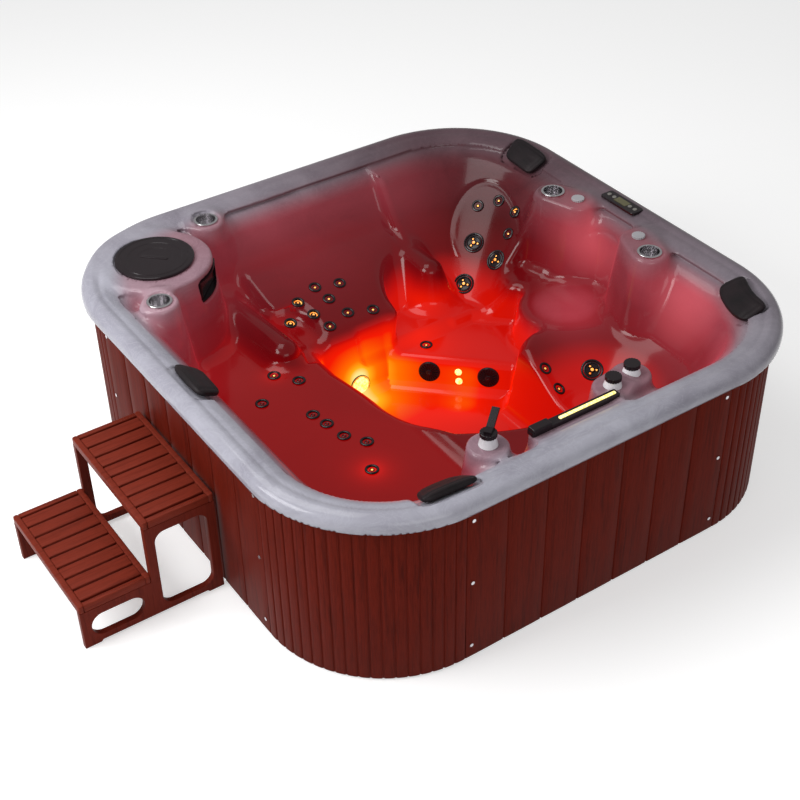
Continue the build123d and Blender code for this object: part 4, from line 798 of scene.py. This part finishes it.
def makeSteps():
    shapes, frames = [], []
    openX, openY = steps["tread"] - 2 * steps["border"], steps["width"] - 2 * steps["border"]
    pitch, ledge = (openY - steps["gap"]) / steps["slats"], steps["ledge"]
    for level, top in enumerate(steps["tops"]):
        middle, low = steps["back"] - steps["tread"] * (1.5 - level), top - steps["frame"]
        for k in range(steps["slats"]):
            y = steps["centreY"] + (k - (steps["slats"] - 1) / 2) * pitch
            board = roundedBox(openX - 0.001, pitch - steps["gap"], 0.003, (middle, y), 2)
            shapes.append(prism(origin, board, top - steps["slatThick"], top, 0.003))
        for side in (-1, 1):
            x = middle + side * (steps["tread"] - steps["border"]) / 2
            rail = roundedBox(steps["border"], steps["width"], 0.008, (x, steps["centreY"]), 4)
            frames.append(prism(origin, rail, low, top, 0.003))
            y = steps["centreY"] + side * (steps["width"] - steps["border"]) / 2
            rail = roundedBox(openX + 0.0005, steps["border"] - 0.0006, 0.002, (middle, y), 2)
            frames.append(prism(origin, rail, low + 0.0004, top - 0.0004, 0.003))
            along, across = middle + side * (openX - ledge) / 2, steps["centreY"] + side * (openY - ledge) / 2
            for strip in (roundedBox(openX, ledge, 0.001, (middle, across), 1),
                          roundedBox(ledge, openY, 0.001, (along, steps["centreY"]), 1)):
                frames.append(prism(origin, strip, low + 0.001, top - steps["slatThick"] - 0.0005, 0.001))
    makePiece("treadSlats", shapes, "step_wood", "steps", ["tread_slats"], sharp=50)
    makePiece("treadFrames", frames, "step_wood", "steps", ["tread_frames"], sharp=50)


def curveLoop(curve, outline):
    line = curve.splines.new("POLY")
    line.points.add(len(outline) - 1)
    for point, (x, y) in zip(line.points, outline):
        point.co = (x, y, 0, 1)
    line.use_cyclic_u = True


def makeSideFrames():
    back, tread, bar = steps["back"], steps["tread"], steps["bar"]
    middle, front = back - tread, back - 2 * tread
    low, high = (top - steps["frame"] for top in steps["tops"])
    inset, foot, lift = 0.002, steps["footLength"], steps["footHeight"]
    outline = [(front, 0), (front, low), (middle, low), (middle, high), (back, high), (back, 0),
               (back - foot, 0), (back - foot - lift, lift), (front + foot + lift, lift), (front + foot, 0)]
    width, slotHeight, windowHeight = tread - 2 * bar, low - 2 * bar, high - 2 * bar
    holes = [roundedBox(width, slotHeight, slotHeight / 2 - 0.001, (middle - tread / 2, low / 2), 10),
             roundedBox(width, windowHeight, steps["windowRound"], (back - tread / 2, high / 2), 10)]
    curve = bpy.data.curves.new("sideFrame", "CURVE")
    curve.dimensions, curve.fill_mode = "2D", "BOTH"
    for loop in [outline] + holes:
        curveLoop(curve, loop)
    curve.offset = -inset
    curve.extrude = steps["side"] / 2 - inset
    curve.bevel_depth, curve.bevel_resolution = inset, 2
    holder = bpy.data.objects.new("sideFrame", curve)
    bpy.context.scene.collection.objects.link(holder)
    plate = bpy.data.meshes.new_from_object(holder.evaluated_get(bpy.context.evaluated_depsgraph_get()))
    shapes = []
    for side in (-1, 1):
        y = steps["centreY"] + side * (steps["width"] - steps["side"]) / 2
        shapes.append(([(v.co.x, y + v.co.z, v.co.y) for v in plate.vertices],
                       [tuple(reversed(f.vertices)) for f in plate.polygons]))
    bpy.data.objects.remove(holder)
    makePiece("stepSides", shapes, "step_frame_wood", "steps", ["step_sides"], sharp=50)


makeSteps()
makeSideFrames()
print("skirt and steps")

# Jets, suction covers and lamps
cornerJets = [cornerPlane(-0.071, 0.543), cornerPlane(-0.163, 0.576), cornerPlane(-0.243, 0.570),
              cornerPlane(-0.225, 0.500)]
benchJets = [benchPlane(x, y) for x, y in (
    (-0.115, 0.624), (-0.223, 0.583), (-0.310, 0.500), (-0.068, 0.447), (-0.175, 0.416),
    (0.035, 0.415), (-0.097, 0.545), (-0.200, 0.500), (-0.009, 0.600))]
loungerJets = [flatPlane(x, y, tub["loungerLevel"]) for x, y in (
    (-0.513, 0.294), (-0.450, 0.209), (-0.642, 0.165), (-0.519, -0.007), (-0.505, -0.084),
    (-0.491, -0.182), (-0.441, -0.261), (-0.514, -0.405))]
otherJets = [bowlPlane(120, 0.299), bowlPlane(110, 0.350), flatPlane(0.214, 0.288, tub["stepLevel"])]
smallJets = cornerJets + benchJets + loungerJets + otherJets
litJets = cornerJets + benchJets + [loungerJets[0], loungerJets[-1]] + otherJets
largeJets = [cornerPlane(-0.074, 0.431), cornerPlane(-0.183, 0.408), cornerPlane(-0.052, 0.304),
             bowlPlane(52, 0.313)]
suctions = [diagonalPlane(0.022, 0.160), diagonalPlane(-0.226, 0.160), flatPlane(0.02, -0.2, tub["wellFloor"])]
mainLight = wellFarPlane(-0.103, 0.132)
spots = [diagonalPlane(-0.100, 0.170), diagonalPlane(-0.104, 0.128)]


def raised(profile):
    return [(radius, height + tub["gap"]) for radius, height in profile]


def turned(spot, step, count, reach=0):  # the plane turned by a step of its circle, then moved out
    return spot @ Matrix.Rotation(2 * math.pi * step / count, 4, "Z") @ Matrix.Translation((reach, 0, 0))


def makeJets():
    ring = raised([(0.0269, 0), (0.0272, 0.0018), (0.0262, 0.0042), (0.0236, 0.0056), (0.0205, 0.0056),
                   (0.0182, 0.0044), (0.0170, 0.0018), (0.0164, -0.0035), (0.0125, -0.0065), (0.0108, -0.0040),
                   (0.0092, -0.0005), (0.0070, 0.0012), (0.0052, 0.0006), (0.0048, -0.0040), (0.0, -0.0045)])
    core = raised([(0.0049, -0.0030), (0.0042, 0.0006), (0.0022, 0.0018), (0.0, 0.0021)])
    halo = raised([(0.0162, -0.0034), (0.0146, -0.0030), (0.0128, -0.0052)])
    rings = [lathe(spot, ring, 36) for spot in smallJets]
    makePiece("smallJetRings", rings, "black_plastic", "tub", ["small_jets"])
    lights = [lathe(spot, shape, 24) for spot in litJets for shape in (core, halo)]
    makePiece("smallJetLights", lights, "spot_glass", "tub")
    bezel = raised([(0.0362, -0.001), (0.0366, 0.0030), (0.0380, 0.0052), (0.0405, 0.0060), (0.0435, 0.0052),
                    (0.0456, 0.0028), (0.0460, 0.0)])
    shapes = [lathe(spot, list(reversed(bezel)), 56) for spot in largeJets]
    rib = roundedBox(0.0052, 0.0012, 0.0005, (0.0416, 0), 2)
    for spot in largeJets:
        shapes += [prism(turned(spot, step, 24), rib, 0.0050, 0.0078, 0.0004, 2) for step in range(24)]
    makePiece("largeJetBezels", shapes, "black_plastic", "tub", ["jet_bezels"])
    face = raised([(0.0346, 0.0), (0.0348, 0.0035), (0.0338, 0.0054), (0.0310, 0.0062), (0.0280, 0.0050),
                   (0.0262, 0.0020), (0.0120, 0.0008), (0.0105, 0.0040), (0.0085, 0.0062), (0.0, 0.0068)])
    port = raised([(0.0078, 0.0004), (0.0080, 0.0052), (0.0070, 0.0064), (0.0058, 0.0052), (0.0054, 0.0008)])
    hot = raised([(0.0054, 0.0010), (0.0, 0.0022)])
    centre = raised([(0.0064, 0.0065), (0.0050, 0.0082), (0.0, 0.0090)])
    for index, spot in enumerate(largeJets):
        number = str(index + 1)
        ports = [turned(spot, step, 3, 0.0185) for step in range(3)]
        shapes = [lathe(spot, face, 48)] + [lathe(place, port, 24) for place in ports]
        glows = [lathe(place, hot, 20) for place in ports] + [lathe(spot, centre, 24)]
        makePiece("largeJetFace" + number, shapes, "black_plastic", "face_" + number, ["jet_face_" + number])
        makePiece("largeJetGlow" + number, glows, "spot_glass", "face_" + number)


def makeSuctions():
    dome = raised([(0.0460, 0), (0.0458, 0.0030), (0.0430, 0.0075), (0.0395, 0.0085), (0.0385, 0.0060),
                   (0.0, 0.0078)])
    hub = raised([(0.0125, 0.0060), (0.0120, 0.0118), (0.0090, 0.0134), (0.0030, 0.0138), (0.0, 0.0120)])
    rib = roundedBox(0.0285, 0.0030, 0.0010, (0.0250, 0), 2)
    shapes = []
    for spot in suctions:
        shapes += [lathe(spot, dome, 56), lathe(spot, hub, 32)]
        shapes += [prism(turned(spot, step, 20), rib, 0.0070, 0.0122, 0.0010, 2) for step in range(20)]
    makePiece("suctionCovers", shapes, "black_plastic", "tub", ["suction_covers"])


def makeLamps():
    ring = raised([(0.0366, 0.0050), (0.0385, 0.0058), (0.0425, 0.0050), (0.0448, 0.0028), (0.0450, 0.0)])
    makePiece("mainLightRing", [lathe(mainLight, list(reversed(ring)), 56)], "spot_glass", "tub")
    lens = raised([(0.0364, 0.0), (0.0362, 0.0060), (0.0335, 0.0090), (0.0300, 0.0094), (0.0285, 0.0082),
                   (0.0255, 0.0100), (0.0210, 0.0104), (0.0195, 0.0094), (0.0160, 0.0108), (0.0, 0.0110)])
    makePiece("mainLightLens", [lathe(mainLight, lens, 56)], "lamp_glass", "tub", ["main_light_lens"])
    bead = raised([(0.0149, 0.0), (0.0149, 0.0020), (0.0128, 0.0042), (0.0080, 0.0056), (0.0, 0.0062)])
    makePiece("spotLenses", [lathe(spot, bead, 32) for spot in spots], "lamp_glass", "tub", ["spot_lights"])


makeJets()
makeSuctions()
makeLamps()
print("jets and lamps")

# Pillows: moulded foam, crowned, each with its own outline
pillow = {"length": 0.221, "height": 0.114, "thick": 0.032, "sink": 0.0235}
pillowForms = {
    "far": {"taper": 0.22, "bow": 0.004, "skew": -0.10},
    "right": {"taper": -0.16, "bow": -0.020, "skew": 0.06},
    "near": {"taper": 0.26, "bow": -0.006, "skew": 0.04},
    "left": {"taper": 0.24, "bow": 0.006, "skew": -0.04},
}


def power(value, exponent):
    return math.copysign(abs(value) ** exponent, value)


def hump(value, middle, width):
    return math.exp(-((value - middle) / width) ** 2)


def makePillow(name, form):
    spot, points, faces = pillowPlaces[name], [], []
    around, down = 72, 28
    for j in range(down + 1):
        rise = math.pi * (j / down - 0.5)
        for i in range(around):
            turn = 2 * math.pi * i / around
            u = power(math.cos(rise), 0.34) * power(math.cos(turn), 0.42)
            v = power(math.cos(rise), 0.34) * power(math.sin(turn), 0.42)
            w = power(math.sin(rise), 0.62)
            x = 0.5 * pillow["length"] * u * (1 - form["taper"] * 0.5 * (v + 1))
            y = 0.5 * pillow["height"] * v + form["bow"] * (u * u - 0.5) + form["skew"] * 0.1 * u
            crown = 1 - 0.16 * u * u - 0.10 * v * v
            seam = 0.10 * (hump(abs(u), 0.80, 0.05) + hump(abs(v), 0.70, 0.07))
            dent = 0.13 * hump(v, -0.05, 0.16) * (1 - u ** 4)
            z = 0.5 * pillow["thick"] * (w * (crown - seam - dent) if w > 0 else 0.9 * w)
            points.append(spot @ Vector((x, y, z + 0.5 * pillow["thick"] - pillow["sink"])))
    for j in range(down):
        for i in range(around):
            k = (i + 1) % around
            faces.append([j * around + i, j * around + k, (j + 1) * around + k, (j + 1) * around + i])
    piece = makePiece("pillow" + name.title(), [(points, faces)], "pillow_foam", "tub", ["pillow_" + name],
                      sharp=0)
    mesh = bmesh.new()
    mesh.from_mesh(piece.data)
    bmesh.ops.remove_doubles(mesh, verts=mesh.verts, dist=0.00005)
    bmesh.ops.recalc_face_normals(mesh, faces=mesh.faces)
    mesh.to_mesh(piece.data)
    mesh.free()


for pillowName, pillowForm in pillowForms.items():
    makePillow(pillowName, pillowForm)

# Filter lid with stepped rings and a sunken finger grip
lid = {"radius": 0.156, "low": 0.7415, "top": 0.750}


def makeLid():
    spot = flatPlane(*towerPlace, lid["top"])
    rings = [(lid["radius"], lid["low"] - lid["top"]), (lid["radius"], -0.0020), (0.1535, -0.0002), (0.1440, 0),
             (0.1425, -0.0014), (0.1330, -0.0014), (0.1315, -0.0001), (0.1080, -0.0001), (0.1065, -0.0012),
             (0.0700, -0.0012), (0.0690, -0.0020), (0.0, -0.0020)]
    groove = roundedBox(0.112, 0.016, 0.0078, (0, 0), 6)
    grip = prism(turned(spot, -1, 8), groove, -0.0025, 0, 0.0008)
    makePiece("filterLid", [lathe(spot, rings, 96), grip], "black_plastic", "lid", ["filter_lid"])


makeLid()
print("pillows and lid")

# Camera
camera = {"place": (-2.6458, -3.7947, 3.7678), "azimuth": -33.684, "elevation": 37.588, "roll": -1.1515,
          "lens": 65.33}
azimuth, elevation, roll = (math.radians(camera[k]) for k in ("azimuth", "elevation", "roll"))
ahead = Vector((-math.sin(azimuth) * math.cos(elevation), math.cos(azimuth) * math.cos(elevation),
                -math.sin(elevation)))
level = ahead.cross(Vector((0, 0, 1))).normalized()
upward = level.cross(ahead)
right = math.cos(roll) * level + math.sin(roll) * upward
up = -math.sin(roll) * level + math.cos(roll) * upward
view = Matrix((right, up, -ahead)).transposed().to_4x4()
view.translation = Vector(camera["place"])
eye = bpy.data.objects.new("camera", bpy.data.cameras.new("camera"))
eye.data.lens = camera["lens"]
eye.data.sensor_width = 36
eye.data.clip_end = 60
eye.matrix_world = view
bpy.context.scene.collection.objects.link(eye)
bpy.context.scene.camera = eye


# Studio: pale floor, white surroundings, soft lamps
def makeFloor():
    floor = bpy.data.meshes.new("floor")
    floor.from_pydata([(-30, -30, 0), (30, -30, 0), (30, 30, 0), (-30, 30, 0)], [], [(0, 1, 2, 3)])
    material, body = shade("paleFloor", 0.9, specular=0.0)
    body.inputs["Base Color"].default_value = (0.8, 0.8, 0.8, 1)
    path = addNode(material, "ShaderNodeLightPath")
    seen = addNode(material, "ShaderNodeMath", operation="MAXIMUM")
    wire(material, path.outputs["Is Camera Ray"], seen.inputs[0])
    wire(material, path.outputs["Is Glossy Ray"], seen.inputs[1])
    scaled = addNode(material, "ShaderNodeMath", operation="MULTIPLY")
    scaled.inputs[1].default_value = 0.45
    wire(material, seen.outputs[0], scaled.inputs[0])
    body.inputs["Emission Color"].default_value = (1, 1, 1, 1)
    wire(material, scaled.outputs[0], body.inputs["Emission Strength"])
    floor.materials.append(material)
    plane = bpy.data.objects.new("floor", floor)
    bpy.context.scene.collection.objects.link(plane)


def makeWorld():
    world = bpy.data.worlds.new("studio")
    world.use_nodes = True
    nodes, links = world.node_tree.nodes, world.node_tree.links
    path = nodes.new("ShaderNodeLightPath")
    first = nodes.new("ShaderNodeMath")
    first.operation = "MAXIMUM"
    links.new(path.outputs["Is Camera Ray"], first.inputs[0])
    links.new(path.outputs["Is Transmission Ray"], first.inputs[1])
    mix = nodes.new("ShaderNodeMapRange")
    mix.inputs["To Min"].default_value = 0.34
    mix.inputs["To Max"].default_value = 1.0
    links.new(first.outputs[0], mix.inputs["Value"])
    links.new(mix.outputs["Result"], nodes["Background"].inputs["Strength"])
    nodes["Background"].inputs["Color"].default_value = (1, 1, 1, 1)
    bpy.context.scene.world = world


def softLamp(name, place, target, size, energy):
    lampData = bpy.data.lights.new(name, "AREA")
    lampData.shape = "RECTANGLE"
    lampData.size, lampData.size_y = size
    lampData.energy = energy
    holder = bpy.data.objects.new(name, lampData)
    holder.location = place
    holder.rotation_euler = (Vector(target) - Vector(place)).to_track_quat("-Z", "Y").to_euler()
    bpy.context.scene.collection.objects.link(holder)


makeFloor()
makeWorld()
softLamp("windowLeft", (-4.6, 0.8, 3.6), (0, 0, 0.5), (3.0, 2.4), 190)
softLamp("topPanel", (-1.1, 1.2, 4.2), (0, 0, 0.5), (2.4, 2.4), 60)
softLamp("frontFill", (-1.2, -4.6, 2.4), (0, 0, 0.4), (3.0, 2.0), 45)
bpy.context.scene.view_settings.view_transform = "Standard"
print("studio ready")
